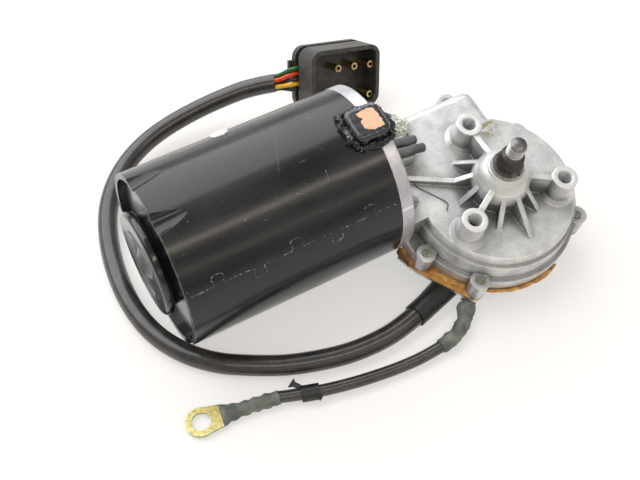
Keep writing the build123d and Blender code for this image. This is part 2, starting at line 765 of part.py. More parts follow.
slot_r = 3.1
slot_ring_r = core_r - 5.2
slot_mouth = 2.4
with BuildPart() as armature_core:
    with BuildSketch(barrel_plane(core_x)):
        Circle(core_r)
        Circle(shaft_r, mode=Mode.SUBTRACT)
        with PolarLocations(slot_ring_r, slot_count):
            Circle(slot_r, mode=Mode.SUBTRACT)
            Rectangle(slot_r + 6, slot_mouth, align=(Align.MIN, Align.CENTER), mode=Mode.SUBTRACT)
    extrude(amount=core_length)
save(armature_core, "armature_core")

winding_outer_r = slot_ring_r + 2.5
winding_inner_r = 9.0
winding_t = 6.0
with BuildPart() as armature_windings:
    for start, depth in ((core_x, -winding_t - 2), (core_x + core_length, winding_t - 1)):
        with BuildSketch(barrel_plane(start)):
            Circle(winding_outer_r)
            Circle(winding_inner_r, mode=Mode.SUBTRACT)
        extrude(amount=depth)
    fillet(armature_windings.edges().filter_by(GeomType.CIRCLE).filter_by(
        lambda edge: abs(edge.radius - winding_outer_r) < 0.01).group_by(Axis.X)[0], 3)
save(armature_windings, "armature_windings")

with BuildPart() as commutator:
    with BuildSketch(barrel_plane(commutator_x)):
        Circle(commutator_r)
        Circle(shaft_r, mode=Mode.SUBTRACT)
        with PolarLocations(commutator_r, slot_count):
            Rectangle(1.2, 0.8, mode=Mode.SUBTRACT)
    extrude(amount=commutator_length)
save(commutator, "commutator")

# ---------------------------------------------------------------- worm wheel
wheel_hub_r = 11.0
wheel_rim_inner_r = wheel_root_r - 4
web_t = 3.0
wheel_twist = degrees(wheel_width * worm_pitch / (2 * pi * worm_pitch_r) / wheel_pitch_r)
gap_half_angle = 360 / wheel_teeth / 4


def wheel_outline(turn):
    """Polygon of the wheel's teeth with a gap centred at the worm, turned by some degrees."""
    def gap_angle(r):
        lean_out = (r - wheel_pitch_r) * tan(radians(flank_angle)) / wheel_pitch_r
        return gap_half_angle + degrees(lean_out + flank_gap / 2 / wheel_pitch_r)

    points = []
    for tooth in range(wheel_teeth):
        middle = 90 + turn + tooth * 360 / wheel_teeth
        for r, side in ((wheel_tip_r, -1), (wheel_root_r, -1), (wheel_root_r, 1), (wheel_tip_r, 1)):
            angle = radians(middle + side * gap_angle(r))
            points.append((r * cos(angle), r * sin(angle)))
    return points


with BuildPart() as worm_wheel:
    with BuildSketch(gear_plane(-wheel_width / 2)):
        Polygon(*wheel_outline(-wheel_twist / 2), align=None)
    with BuildSketch(gear_plane(wheel_width / 2)):
        Polygon(*wheel_outline(wheel_twist / 2), align=None)
    loft(ruled=True)
    for side in (1, -1):
        with BuildSketch(gear_plane(side * wheel_width / 2)):
            Circle(wheel_rim_inner_r)
            Circle(wheel_hub_r, mode=Mode.SUBTRACT)
        extrude(amount=-side * (wheel_width - web_t) / 2, mode=Mode.SUBTRACT)
    with BuildSketch(gear_plane(-wheel_width / 2)):
        Circle(output_r)
    extrude(amount=wheel_width, mode=Mode.SUBTRACT)
save(worm_wheel, "worm_wheel")

park_disc_t = 0.5
park_outer_r = wheel_rim_inner_r + 2
with BuildPart() as park_disc:
    with BuildSketch(gear_plane(-wheel_width / 2)):
        Circle(park_outer_r)
        Circle(park_outer_r - 9, mode=Mode.SUBTRACT)
        with Locations((park_outer_r - 4, 0)):
            Rectangle(5, 9, mode=Mode.SUBTRACT)
    extrude(amount=-park_disc_t)
save(park_disc, "park_disc")

# ---------------------------------------------------------------- output shaft
head_t = 2.0
washer_z = hub_top + 0.1
clip_z = washer_z + washer_t
with BuildPart() as output_shaft:
    with BuildSketch(Plane.XZ.offset(gear_centres)):
        with BuildLine():
            Polyline(
                (shaft_x, -wheel_width / 2 - head_t), (shaft_x + shaft_head_r, -wheel_width / 2 - head_t),
                (shaft_x + shaft_head_r, -wheel_width / 2), (shaft_x + output_r, -wheel_width / 2),
                (shaft_x + output_r, clip_z + clip_t), (shaft_x + output_r - 0.5, cone_z),
                (shaft_x + cone_r, cone_z), (shaft_x + cone_top_r, cone_top_z),
                (shaft_x + stud_r - 0.5, cone_top_z + 0.3), (shaft_x + stud_r - 0.5, cone_top_z + 1.2),
                (shaft_x + stud_r, cone_top_z + 1.6), (shaft_x + stud_r, stud_top - 0.8),
                (shaft_x + stud_r - 0.8, stud_top), (shaft_x, stud_top), close=True)
        make_face()
    revolve(axis=output_axis)
save(output_shaft, "output_shaft")

with BuildPart() as output_bush:
    with BuildSketch(gear_plane(chamber_top)):
        Circle(output_r + bush_t)
        Circle(output_r + running_fit, mode=Mode.SUBTRACT)
    extrude(amount=hub_top - 4 - chamber_top)
save(output_bush, "output_bush")

with BuildPart() as shaft_seal:
    with BuildSketch(gear_plane(hub_top - 4)):
        Circle(output_r + 0.4)
        Circle(output_r + running_fit, mode=Mode.SUBTRACT)
    extrude(amount=3.0)
save(shaft_seal, "shaft_seal")

with BuildPart() as thrust_washer:
    with BuildSketch(gear_plane(washer_z)):
        Circle(washer_r)
        Circle(output_r, mode=Mode.SUBTRACT)
    extrude(amount=washer_t)
save(thrust_washer, "thrust_washer")

with BuildPart() as shaft_circlip:
    with BuildSketch(gear_plane(clip_z)):
        Circle(clip_r)
        Circle(output_r, mode=Mode.SUBTRACT)
        with Locations((0, -output_r)):
            Rectangle(4, 6, mode=Mode.SUBTRACT)
    extrude(amount=clip_t)
save(shaft_circlip, "shaft_circlip")

# ---------------------------------------------------------------- cover and gasket
cover_top = joint_z - gasket_t
plate_bottom = cover_top - cover_t
with BuildPart() as cover_gasket:
    with BuildSketch(Plane.XY.offset(cover_top)):
        cover_outline(0)
        cover_skirt()
        with Locations((shaft_x, -gear_centres)):
            Circle(flange_r - gasket_land, mode=Mode.SUBTRACT)
        with Locations(*lug_centres):
            Circle(screw_r + seat_gap, mode=Mode.SUBTRACT)
    extrude(amount=gasket_t)
save(cover_gasket, "cover_gasket")

mouth_from = Vector(*boot_root)
mouth_to = Vector(*cable_route[0])
mouth_out = (mouth_to - mouth_from).normalized()
cable_out = (Vector(*cable_route[1]) - mouth_to).normalized()
with BuildPart() as cable_boot:
    with BuildSketch(Plane(mouth_from, x_dir=mouth_out.cross(Vector(0, 0, 1)), z_dir=mouth_out)):
        Ellipse(boot_width / 2, boot_height / 2)
    with BuildSketch(Plane(mouth_to, x_dir=cable_out.cross(Vector(0, 0, 1)), z_dir=cable_out)):
        Circle(boot_end_r)
    loft()
    with BuildSketch(Plane(mouth_to, x_dir=cable_out.cross(Vector(0, 0, 1)), z_dir=cable_out)):
        Circle(boot_end_r)
        Circle(cable_r + seat_gap, mode=Mode.SUBTRACT)
    extrude(amount=boot_collar)
save(cable_boot, "cable_boot", lay_down=False)

with BuildPart() as gearbox_cover:
    with BuildSketch(Plane.XY.offset(plate_bottom)):
        cover_outline(0)
        cover_skirt()
        with Locations(*lug_centres):
            Circle(screw_r + seat_gap, mode=Mode.SUBTRACT)
    extrude(amount=cover_t)
    with BuildSketch(gear_plane(plate_bottom)):
        Circle(dish_r)
    extrude(amount=-dish_depth)
    fillet(gearbox_cover.faces().sort_by(Axis.Z)[0].edges(), dish_round)
    with BuildSketch(gear_plane(cover_top)):
        Circle(dish_r - cover_t)
    extrude(amount=-(dish_depth + 0.01), mode=Mode.SUBTRACT)
    add(cable_boot.part.moved(ON_BENCH.inverse()), mode=Mode.SUBTRACT)
save(gearbox_cover, "gearbox_cover")

with BuildPart() as cover_screws:
    for place in lug_centres:
        under = tab_t if place == tab_place else 0
        with BuildSketch(Plane.XY.offset(plate_bottom - under)):
            with Locations(place):
                Circle(screw_head_r)
        extrude(amount=-screw_head_t, taper=12)
    with BuildSketch(Plane.XY.offset(plate_bottom - tab_t)):
        with Locations(*lug_centres):
            Circle(screw_r)
    extrude(amount=lug_top + screw_tip - plate_bottom + tab_t)
save(cover_screws, "cover_screws")

# ---------------------------------------------------------------- park switch
carrier_x = 16.0
carrier_top = -9.0
leaf_t = 0.4
dish_floor = cover_top - dish_depth
with BuildPart() as contact_carrier:
    with BuildSketch(gear_plane(dish_floor)):
        with Locations((-carrier_x, 0)):
            Rectangle(14.0, 24.0)
    extrude(amount=3.0)
    with BuildSketch(gear_plane(dish_floor)):
        with Locations((-carrier_x - 3.0, 0)):
            Rectangle(6.0, 24.0)
    extrude(amount=carrier_top - dish_floor)
save(contact_carrier, "contact_carrier")

leaf_reach = 7.0
with BuildPart() as park_contacts:
    for offset_y in (-8.0, 0.0, 8.0):
        leaf_plane = Plane((shaft_x, -gear_centres + offset_y, 0), x_dir=(1, 0, 0), z_dir=(0, -1, 0))
        leaf_tip = -wheel_width / 2 - park_disc_t - contact_gap
        leaf_end = leaf_reach - carrier_x
        with BuildSketch(leaf_plane):
            Polygon((-carrier_x - 5.5, carrier_top), (-carrier_x, carrier_top),
                    (leaf_end - 1, leaf_tip - leaf_t), (leaf_end, leaf_tip - leaf_t),
                    (leaf_end, leaf_tip), (leaf_end - 1.2, leaf_tip),
                    (-carrier_x - 0.3, carrier_top + leaf_t), (-carrier_x - 5.5, carrier_top + leaf_t),
                    align=None)
        extrude(amount=1.5, both=True)
save(park_contacts, "park_contacts")

# ---------------------------------------------------------------- terminal cap on the barrel
with BuildPart() as terminal_cap:
    with BuildSketch(Plane.XY.offset(can_r - 8)):
        with Locations((cap_front - cap_length / 2, 0)):
            RectangleRounded(cap_length, cap_width, cap_round)
    extrude(amount=cap_top - can_r + 8, taper=5)
    fillet(terminal_cap.faces().sort_by(Axis.Z)[-1].edges(), cap_edge_round)
    with BuildSketch(barrel_plane(-can_length)):
        Circle(can_r + seat_gap)
    extrude(amount=can_length + ring_t, mode=Mode.SUBTRACT)
    with BuildSketch(Plane.XY.offset(can_r - can_wall)):
        with Locations((-notch_length / 2, 0)):
            RectangleRounded(notch_length - 2 * seat_gap, notch_width - 2 * seat_gap, cap_round - 1)
    extrude(amount=can_wall + 1)
save(terminal_cap, "terminal_cap")

with BuildPart() as cap_sealant:
    with BuildSketch(Plane.XY.offset(can_r - 8)):
        with Locations((cap_front - cap_length / 2 - 1, 0)):
            RectangleRounded(cap_length + 2 * bead_width - 2, cap_width + 2 * bead_width,
                             cap_round + bead_width)
    extrude(amount=bead_top - can_r + 8)
    fillet(cap_sealant.faces().sort_by(Axis.Z)[-1].edges(), 0.8)
    with BuildSketch(barrel_plane(-can_length)):
        Circle(can_r + seat_gap)
    extrude(amount=can_length + ring_t, mode=Mode.SUBTRACT)
    with BuildSketch(Plane.XY.offset(can_r - 8)):
        with Locations((cap_front - cap_length / 2, 0)):
            RectangleRounded(cap_length + 2 * seat_gap, cap_width + 2 * seat_gap, cap_round + seat_gap)
    extrude(amount=can_r, mode=Mode.SUBTRACT)
    split(bisect_by=Plane((ring_t - 0.2, 0, 0), z_dir=(1, 0, 0)), keep=Keep.BOTTOM)
save(cap_sealant, "cap_sealant")

with BuildPart() as breather_tubes:
    breather_tubes_at(tube_r, Mode.ADD)
    fillet(breather_tubes.faces().filter_by(GeomType.PLANE).sort_by(Axis.X)[-2:].edges(), 1.2)
save(breather_tubes, "breather_tubes")

# ---------------------------------------------------------------- ground tab and lead
def tube(name, points, radius):
    """A length of round cord along a route."""
    with BuildPart() as run:
        with BuildLine() as line:
            cord_path(points)
        with BuildSketch(Plane(line.line @ 0, z_dir=line.line % 0)):
            Circle(radius)
        sweep(path=line.line)
    length = sum(edge.length for edge in line.line.edges())
    print(name, "length", round(length, 1), "radii", [round(r, 1) for r in route_radii(points)],
          "volume ratio", round(run.part.volume / (pi * radius ** 2 * length), 4))
    save(run, name, lay_down=False)
    return run


tube("motor_cable", cable_route, cable_r)
tube("ground_lead", lead_route, lead_r)
tab_sleeve = tube("tab_sleeve", sleeve_route, sleeve_r)

tab_end = (ON_BENCH.inverse() * Location(Vector(*sleeve_route[0]))).position
tab_x, tab_y = tab_place
tab_out = Vector(tab_end.X - tab_x, tab_end.Y - tab_y, 0)
tab_reach = tab_out.length
tab_top = plate_bottom
with BuildPart() as ground_tab:
    with BuildSketch(Plane.XY.offset(tab_top)):
        with Locations((tab_x, tab_y)):
            Circle(tab_r)
    extrude(amount=-tab_t)
    tab_side = Plane(Vector(tab_x, tab_y, 0), x_dir=tab_out, z_dir=tab_out.cross(Vector(0, 0, 1)))
    with BuildSketch(tab_side):
        Polygon((0, tab_top), (tab_r, tab_top), (tab_reach, tab_end.Z + tab_t / 2),
                (tab_reach, tab_end.Z - tab_t / 2), (tab_r - 0.4, tab_top - tab_t),
                (0, tab_top - tab_t), align=None)
    extrude(amount=tab_width / 2, both=True)
    with BuildSketch(Plane.XY.offset(tab_top)):
        with Locations((tab_x, tab_y)):
            Circle(screw_r + seat_gap)
    extrude(amount=-tab_t, mode=Mode.SUBTRACT)
    add(tab_sleeve.part.moved(ON_BENCH.inverse()), mode=Mode.SUBTRACT)
    add(cable_boot.part.moved(ON_BENCH.inverse()), mode=Mode.SUBTRACT)
save(ground_tab, "ground_tab")

# ---------------------------------------------------------------- connector
plug_out = Vector(*plug_mating).normalized()
plug_side = (Vector(*plug_across) - plug_out * Vector(*plug_across).dot(plug_out)).normalized()
plug_plane = Plane(Vector(*plug_face), x_dir=plug_side, z_dir=plug_out)
with BuildPart() as connector_shroud:
    with BuildSketch(plug_plane.offset(-plug_depth)):
        RectangleRounded(plug_width, plug_height, plug_round)
    extrude(amount=plug_depth)
    with BuildSketch(plug_plane.offset(-plug_cavity)):
        RectangleRounded(plug_width - 2 * plug_wall, plug_height - 2 * plug_wall, plug_round - plug_wall)
    extrude(amount=plug_cavity, mode=Mode.SUBTRACT)
    with BuildSketch(plug_plane.offset(-groove_back)):
        RectangleRounded(plug_width + 2, plug_height + 2, plug_round)
        RectangleRounded(plug_width - 2 * groove_depth, plug_height - 2 * groove_depth,
                         plug_round - groove_depth, mode=Mode.SUBTRACT)
    extrude(amount=plug_groove, mode=Mode.SUBTRACT)
    with BuildSketch(plug_plane.offset(-plug_depth)):
        with Locations((1 - plug_width / 2, latch_up)):
            Rectangle(latch_width + 1, latch_height, align=(Align.MAX, Align.CENTER))
    extrude(amount=latch_t)
    with BuildSketch(plug_plane.offset(-plug_cavity)):
        with Locations(*pin_places):
            Circle(pin_r)
    extrude(amount=-(plug_depth - plug_cavity), mode=Mode.SUBTRACT)
save(connector_shroud, "connector_shroud", lay_down=False)

with BuildPart() as connector_tail:
    with BuildSketch(plug_plane.offset(-plug_depth)):
        RectangleRounded(plug_tail_width, plug_tail_height, 3.0)
    extrude(amount=-plug_tail_length)
save(connector_tail, "connector_tail", lay_down=False)

with BuildPart() as connector_pins:
    with BuildSketch(plug_plane.offset(-plug_depth)):
        with Locations(*pin_places):
            Circle(pin_r)
    extrude(amount=plug_depth - pin_back)
    with BuildSketch(plug_plane.offset(-pin_back)):
        with Locations(*pin_places):
            Circle(pin_bore_r)
    extrude(amount=-7.0, mode=Mode.SUBTRACT)
save(connector_pins, "connector_pins", lay_down=False)

# Five wires from the end of the cable's sheath to the side of the connector's groove.
sheath_end = Vector(*cable_route[-1])
sheath_out = (sheath_end - Vector(*cable_route[-2])).normalized()
sheath_side = sheath_out.cross(Vector(0, 0, 1)).normalized()
sheath_up = sheath_side.cross(sheath_out).normalized()
entry_x = groove_depth - plug_width / 2
entry_z = plug_groove / 2 - groove_back
for name, (across, up, entry_up) in wire_places.items():
    first = sheath_end + sheath_side * across + sheath_up * up
    last = plug_plane.from_local_coords(Vector(entry_x, entry_up, entry_z))
    gap = (last - first).length
    second = first + sheath_out * gap * wire_lead_out
    third = last - plug_side * gap * wire_lead_in
    tube(name, [tuple(first), tuple(second), tuple(third), tuple(last)], wire_r)

# ---------------------------------------------------------------- ring terminal and sleeve
ring_at = Vector(*ring_centre)
lead_end = Vector(*lead_route[-1])
lead_out = (lead_end - Vector(*lead_route[-2])).normalized()
terminal_along = (lead_end - ring_at).normalized()
terminal_up = Vector(0, 0, 1) - terminal_along * terminal_along.Z
ring_plane = Plane(ring_at, x_dir=terminal_along, z_dir=terminal_up)
sleeve_far = ring_at + terminal_along * palm_reach
sleeve_throat = sleeve_far + terminal_along * lug_sleeve_throat
with BuildPart() as lug_sleeve:
    with BuildSketch(Plane(lead_end, x_dir=lead_out.cross(Vector(0, 0, 1)), z_dir=lead_out)):
        Circle(lug_sleeve_r)
    with BuildSketch(Plane(sleeve_throat, x_dir=ring_plane.y_dir, z_dir=-terminal_along)):
        Ellipse(throat_width / 2, throat_height / 2)
    loft()
    with BuildSketch(Plane(sleeve_throat, x_dir=ring_plane.y_dir, z_dir=-terminal_along)):
        Ellipse(throat_width / 2, throat_height / 2)
    with BuildSketch(Plane(sleeve_far, x_dir=ring_plane.y_dir, z_dir=-terminal_along)):
        Ellipse(lug_sleeve_width / 2, lug_sleeve_height / 2)
    loft()
save(lug_sleeve, "lug_sleeve", lay_down=False)

with BuildPart() as ring_terminal:
    with BuildSketch(ring_plane.offset(-ring_plate_t / 2)):
        Circle(ring_outer_r)
        Polygon((0, ring_outer_r), (0, -ring_outer_r), (palm_reach, -palm_width / 2),
                (palm_reach, palm_width / 2), align=None)
        Circle(ring_hole_r, mode=Mode.SUBTRACT)
    extrude(amount=ring_plate_t)
save(ring_terminal, "ring_terminal", lay_down=False)

clip_from, clip_to = [Vector(*point) for point in clip_run]
clip_mid = (clip_from + clip_to) / 2
clip_along = (clip_to - clip_from).normalized()
clip_side = Vector(0, 0, 1).cross(clip_along).normalized()
band_r = lead_r + clip_gap + clip_wall
with BuildPart() as lead_clip:
    with BuildSketch(Plane(clip_mid, x_dir=clip_side, z_dir=clip_along)):
        Circle(band_r)
    extrude(amount=clip_width / 2, both=True)
    with BuildSketch(Plane(clip_mid, x_dir=clip_along, z_dir=(0, 0, 1))):
        with Locations(Location((0, 0, 0), (0, 0, clip_tail_turn))):
            Polygon((0, -clip_tail_width / 2), (lead_r + clip_tail - 1.5, -clip_tail_width / 2),
                    (lead_r + clip_tail, -clip_flare / 2), (lead_r + clip_tail, clip_flare / 2),
                    (lead_r + clip_tail - 1.5, clip_tail_width / 2), (0, clip_tail_width / 2), align=None)
            Rectangle(band_r + clip_tail_width, clip_tail_width, align=(Align.MAX, Align.CENTER))
    extrude(amount=clip_tail_t / 2, both=True)
    with BuildSketch(Plane(clip_mid, x_dir=clip_side, z_dir=clip_along)):
        Circle(lead_r + clip_gap)
    extrude(amount=clip_width, both=True, mode=Mode.SUBTRACT)
save(lead_clip, "lead_clip", lay_down=False)
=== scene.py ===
# %% [markdown]
# # A truck's wiper motor on a white bench
#
# The object is a permanent-magnet motor in a rolled steel can, bolted to a die-cast worm
# gearbox with a short threaded output shaft. Its exact solids come from a CAD model, which
# this script loads first as a fixed frame. Every length here is in metres and in the same
# frame: +X runs along the motor towards the gearbox, +Z is up, and the bench is z = 0.
# What the script adds is how the thing looks: finishes, cables, threads, sealant and light.

# %% Load the frame
import math

import bmesh
import bpy
from mathutils import Matrix, Vector, noise


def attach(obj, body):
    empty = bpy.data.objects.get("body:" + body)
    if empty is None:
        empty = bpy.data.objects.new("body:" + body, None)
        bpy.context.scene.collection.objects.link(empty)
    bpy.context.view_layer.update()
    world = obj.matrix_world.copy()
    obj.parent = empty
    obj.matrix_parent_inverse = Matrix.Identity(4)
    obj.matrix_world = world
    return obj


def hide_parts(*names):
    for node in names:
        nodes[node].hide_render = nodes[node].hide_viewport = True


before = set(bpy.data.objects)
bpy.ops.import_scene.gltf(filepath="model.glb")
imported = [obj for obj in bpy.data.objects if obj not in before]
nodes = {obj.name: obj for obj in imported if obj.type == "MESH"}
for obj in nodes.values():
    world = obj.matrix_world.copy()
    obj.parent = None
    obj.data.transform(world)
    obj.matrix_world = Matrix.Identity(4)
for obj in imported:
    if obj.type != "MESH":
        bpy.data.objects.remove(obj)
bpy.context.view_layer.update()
BODY = "motor_body"

# %% [markdown]
# ## Two frames
#
# The gearbox and the barrel are easiest to think of in the motor's own frame: x along the
# motor axis from the can's front edge, z along the output shaft, in millimetres. The motor
# lies rolled over on the bench, so that frame is tilted by some degrees about the motor
# axis. One matrix takes a point from the motor's frame to the bench.

# %% From the motor's frame to the bench
MM = 0.001
LEAN = math.radians(12.77563)
CAN_R = 40.0
MOTOR = (Matrix.Translation((7.3 * MM, 18.05377 * MM, CAN_R * MM))
         @ Matrix.Rotation(LEAN, 4, "X") @ Matrix.Scale(MM, 4))
BENCH = Matrix.Scale(MM, 4)  # for pieces measured from the bench itself
SHAFT = (51.0, -38.0)  # where the output shaft's axis crosses the motor's plane
print("shaft foot on the bench:", MOTOR @ Vector((*SHAFT, 0)))

# %% [markdown]
# ## Camera
#
# The view is from behind the barrel and on its -Y side, looking down at about fifty degrees,
# so that the barrel, the ribbed gearbox and both cables show at once. The lens angle comes
# from the perspective of the barrel.

# %% Camera
camera_data = bpy.data.cameras.new("camera")
camera_data.sensor_width = 36.0
camera_data.lens = 56.25
camera = bpy.data.objects.new("camera", camera_data)
camera.location = (-0.15807, -0.23708, 0.38606)
camera.rotation_euler = (math.radians(37.371), 0.0, math.radians(-29.847))
camera_data.clip_start = 0.01
camera_data.clip_end = 20.0
bpy.context.scene.collection.objects.link(camera)
bpy.context.scene.camera = camera
print("camera to shaft tip:", round((MOTOR @ Vector((*SHAFT, 45)) - camera.location).length, 3))

# %% [markdown]
# ## Cables
#
# A cable is one smooth curve, and a NURBS spline with few control points gives it the even
# bends of a stiff sheath. The points are the route of the real cable on the bench: out of
# the gearbox's boot, round behind the barrel, and up to the connector. Each spline gets its
# order after its points, because a new spline can't hold a higher order yet. Each point's
# radius carries the cable's thickness, because Blender pads a curve's box by that radius.

# %% Cable routes
CABLE_D = 9.5
CABLE = [
    (10.0, -41.8, 5.7), (-4.5, -45.8, 5.6), (-18.0, -47.0, 5.2), (-32.7, -45.8, 4.9),
    (-46.5, -42.3, 4.9), (-60.8, -37.0, 4.9), (-74.0, -29.4, 4.9), (-86.4, -21.0, 4.9),
    (-96.7, -9.2, 4.9), (-103.9, 5.5, 4.9), (-106.9, 22.9, 4.9), (-106.0, 43.0, 4.9),
    (-102.3, 62.3, 4.9), (-96.3, 78.8, 6.6), (-87.8, 91.8, 7.9), (-76.2, 102.7, 9.2),
    (-61.7, 110.6, 10.4), (-45.7, 114.7, 11.7), (-28.1, 115.3, 14.2), (-11.8, 112.7, 18.0),
    (0.2, 109.1, 21.1), (10.9, 104.4, 22.6),
]
LEAD_D = 5.4
LEAD = [
    (4.0, -62.4, 3.9), (-5.0, -62.9, 3.4), (-17.0, -62.1, 3.4), (-29.5, -60.5, 3.7),
    (-41.5, -58.2, 3.9), (-52.5, -55.3, 3.9), (-62.5, -51.8, 3.7), (-71.6, -48.0, 3.4),
]


def metres(points):
    return [tuple(v * MM for v in p) for p in points]


def cable(name, points, diameter):
    """A round cable whose centreline is a NURBS spline through soft control points."""
    curve = bpy.data.curves.new(name, "CURVE")
    curve.dimensions = "3D"
    curve.bevel_depth = 1.0  # times each point's radius
    curve.bevel_resolution = 8
    curve.resolution_u = 12
    curve.use_fill_caps = True
    spline = curve.splines.new("NURBS")
    spline.points.add(len(points) - 1)
    for control, point in zip(spline.points, points):
        control.co = (*point, 1.0)
        control.radius = diameter / 2
    spline.order_u = 3
    spline.use_endpoint_u = True
    made = bpy.data.objects.new(name, curve)
    bpy.context.scene.collection.objects.link(made)
    return made


sheath = cable("cable_sheath", metres(CABLE), CABLE_D * MM)
lead = cable("earth_lead", metres(LEAD), LEAD_D * MM)
print("cable points:", len(CABLE), "lead points:", len(LEAD))

# %% [markdown]
# ## Tools for making a piece
#
# A turned piece, such as a stud, is a profile spun about its axis. A bead of sealant or a
# sleeve of shrink tube is one ring of points, extruded again and again along a path. Both
# are plain modelling operators on a bmesh, and one function turns a finished bmesh into an
# object, puts it where it belongs and fixes it to a moving body.

# %% Turned and drawn-out shapes


def turned(profile, centre, steps):
    """Spins a profile of (radius, height) points about an upright axis."""
    bm = bmesh.new()
    line = [bm.verts.new((centre[0] + r, centre[1], z)) for r, z in profile]
    edges = [bm.edges.new(pair) for pair in zip(line, line[1:])]
    bmesh.ops.spin(bm, geom=line + edges, cent=(*centre, 0), axis=(0, 0, 1),
                   angle=math.tau, steps=steps, use_merge=True)
    return bm


def drawn_out(path, sizes, sides, closed=False, up=(0, 0, 1)):
    """Extrudes a ring along a path. Sizes holds a half width and a half height per point."""
    bm = bmesh.new()
    count = len(path)
    path = [Vector(p) for p in path]
    first = bmesh.ops.create_circle(bm, segments=sides, radius=1.0)["verts"]
    start_loop = list({edge for vert in first for edge in vert.link_edges})
    loop, verts, last_place = start_loop, first, Matrix.Identity(4)
    for number, point in enumerate(path):
        before = path[number - 1] if closed or number else point
        after = path[(number + 1) % count] if closed or number < count - 1 else point
        along = (after - before).normalized()
        across = along.cross(Vector(up)).normalized()
        raised = across.cross(along)
        width, height = sizes[number]
        place = Matrix.Translation(point) @ Matrix(
            (across * width, raised * height, along)).transposed().to_4x4()
        if number:
            made = bmesh.ops.extrude_edge_only(bm, edges=loop)["geom"]
            verts = [part for part in made if isinstance(part, bmesh.types.BMVert)]
            loop = [part for part in made if isinstance(part, bmesh.types.BMEdge)]
        bmesh.ops.transform(bm, matrix=place @ last_place.inverted(), verts=verts)
        last_place = place
    if closed:
        bmesh.ops.bridge_loops(bm, edges=loop + start_loop)
    else:
        bmesh.ops.holes_fill(bm, edges=bm.edges, sides=sides)
    return bm


print("shapes ready")

# %% Smooth paths, noise and joining


def smooth_path(points, steps):
    """Points read along a spline through a few given ones."""
    curve = bpy.data.curves.new("path", "CURVE")
    curve.dimensions = "3D"
    curve.resolution_u = steps
    spline = curve.splines.new("NURBS")
    spline.points.add(len(points) - 1)
    for control, point in zip(spline.points, points):
        control.co = (*point, 1.0)
    spline.order_u = 3
    spline.use_endpoint_u = True
    holder = bpy.data.objects.new("path", curve)
    mesh = bpy.data.meshes.new_from_object(holder)
    found = [vert.co.copy() for vert in mesh.vertices]
    bpy.data.objects.remove(holder)
    return found


def roughen(bm, depth, per_mm, seed=0.0):
    """Moves each point along its normal by noise, for sealant and shrunk tube."""
    bm.normal_update()
    for vert in bm.verts:
        vert.co += vert.normal * depth * noise.noise(vert.co * per_mm + Vector((seed, 0, 0)))


def join_onto(whole, part):
    """Adds one bmesh to another and frees it."""
    mesh = bpy.data.meshes.new("part")
    part.to_mesh(mesh)
    part.free()
    whole.from_mesh(mesh)


print("paths ready")

# %% Finish a piece


def finish_piece(name, bm, body=BODY, place=MOTOR, replaces=(), smooth=True):
    """A bmesh in millimetres becomes an object in metres that rides on a body."""
    bmesh.ops.remove_doubles(bm, verts=bm.verts, dist=0.0005)
    bmesh.ops.recalc_face_normals(bm, faces=bm.faces)
    bmesh.ops.transform(bm, matrix=place, verts=bm.verts)
    mesh = bpy.data.meshes.new(name)
    bm.to_mesh(mesh)
    bm.free()
    for face in mesh.polygons:
        face.use_smooth = smooth
    made = bpy.data.objects.new(name, mesh)
    bpy.context.scene.collection.objects.link(made)
    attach(made, body)
    if replaces:
        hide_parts(*replaces)
    print(name, "faces:", len(mesh.polygons))
    return made


def on_can(x, angle, height=0.0):
    """A point on the can: x along it, the angle from +Y towards +Z, height over the paint."""
    turn = math.radians(angle)
    return Vector((x, (CAN_R + height) * math.cos(turn), (CAN_R + height) * math.sin(turn)))


print("can top on the bench:", MOTOR @ on_can(-50, 90))

# %% [markdown]
# ## Output stud
#
# The wiper arm seats on a knurled cone and is pulled down by a nut on an M8 thread. The
# shaft is turned in one piece, so it is spun here from one profile with many fine steps.
# The thread and the knurl are then cut by drawing each point in by an amount that depends
# on its height and its angle: a helix for the thread, 36 flutes for the knurl.

# %% The shaft, its thread and its knurl
PITCH = 1.25
THREAD_R = 4.0
THREAD_DEPTH = 0.74
THREAD_FROM, THREAD_TO = 37.7, 44.5
THREAD_ROWS, ROW_RISE = 54, PITCH / 10
KNURL_TEETH = 36
KNURL_DEPTH = 0.32
KNURL_FROM, KNURL_TO, KNURL_CORE = 30.4, 36.3, 5.0
steps_up = [37.8 + ROW_RISE * n for n in range(THREAD_ROWS)]
shaft_profile = [(0, -7), (8.5, -7), (8.5, -5), (6, -5), (6, 28), (5.5, 30.5), (6.1, 30.5)]
shaft_profile += [(6.1 - 0.9 * n / 8, 30.5 + 5.7 * n / 8) for n in range(1, 9)]
shaft_profile += [(3.5, 36.5), (3.5, 37.4)] + [(THREAD_R, z) for z in steps_up]
shaft_profile += [(3.2, 45.2), (0, 45.2)]


def thread_cut(height, turn):
    """0 at a crest and 1 at a root of a one-start right-hand thread."""
    phase = (height / PITCH - turn / math.tau) % 1.0
    return 1 - abs(2 * phase - 1)


bm = turned(shaft_profile, SHAFT, 144)
for vert in bm.verts:
    arm = Vector((vert.co.x - SHAFT[0], vert.co.y - SHAFT[1], 0))
    turn = math.atan2(arm.y, arm.x)
    height = vert.co.z
    if THREAD_FROM < height < THREAD_TO:
        vert.co -= arm.normalized() * THREAD_DEPTH * thread_cut(height, turn)
    elif KNURL_FROM < height < KNURL_TO and arm.length > KNURL_CORE:
        vert.co -= arm.normalized() * KNURL_DEPTH * (0.5 + 0.5 * math.cos(KNURL_TEETH * turn))
finish_piece("output_stud", bm, "output", replaces=["output_shaft"])

# %% [markdown]
# ## Threads in the bosses
#
# The motor is bolted to the cab through three bosses, and each has a tapped M8 hole. A
# turned sleeve with the same helix inside stands for the cut thread. It is so thin that the
# CAD hole keeps its size behind it.

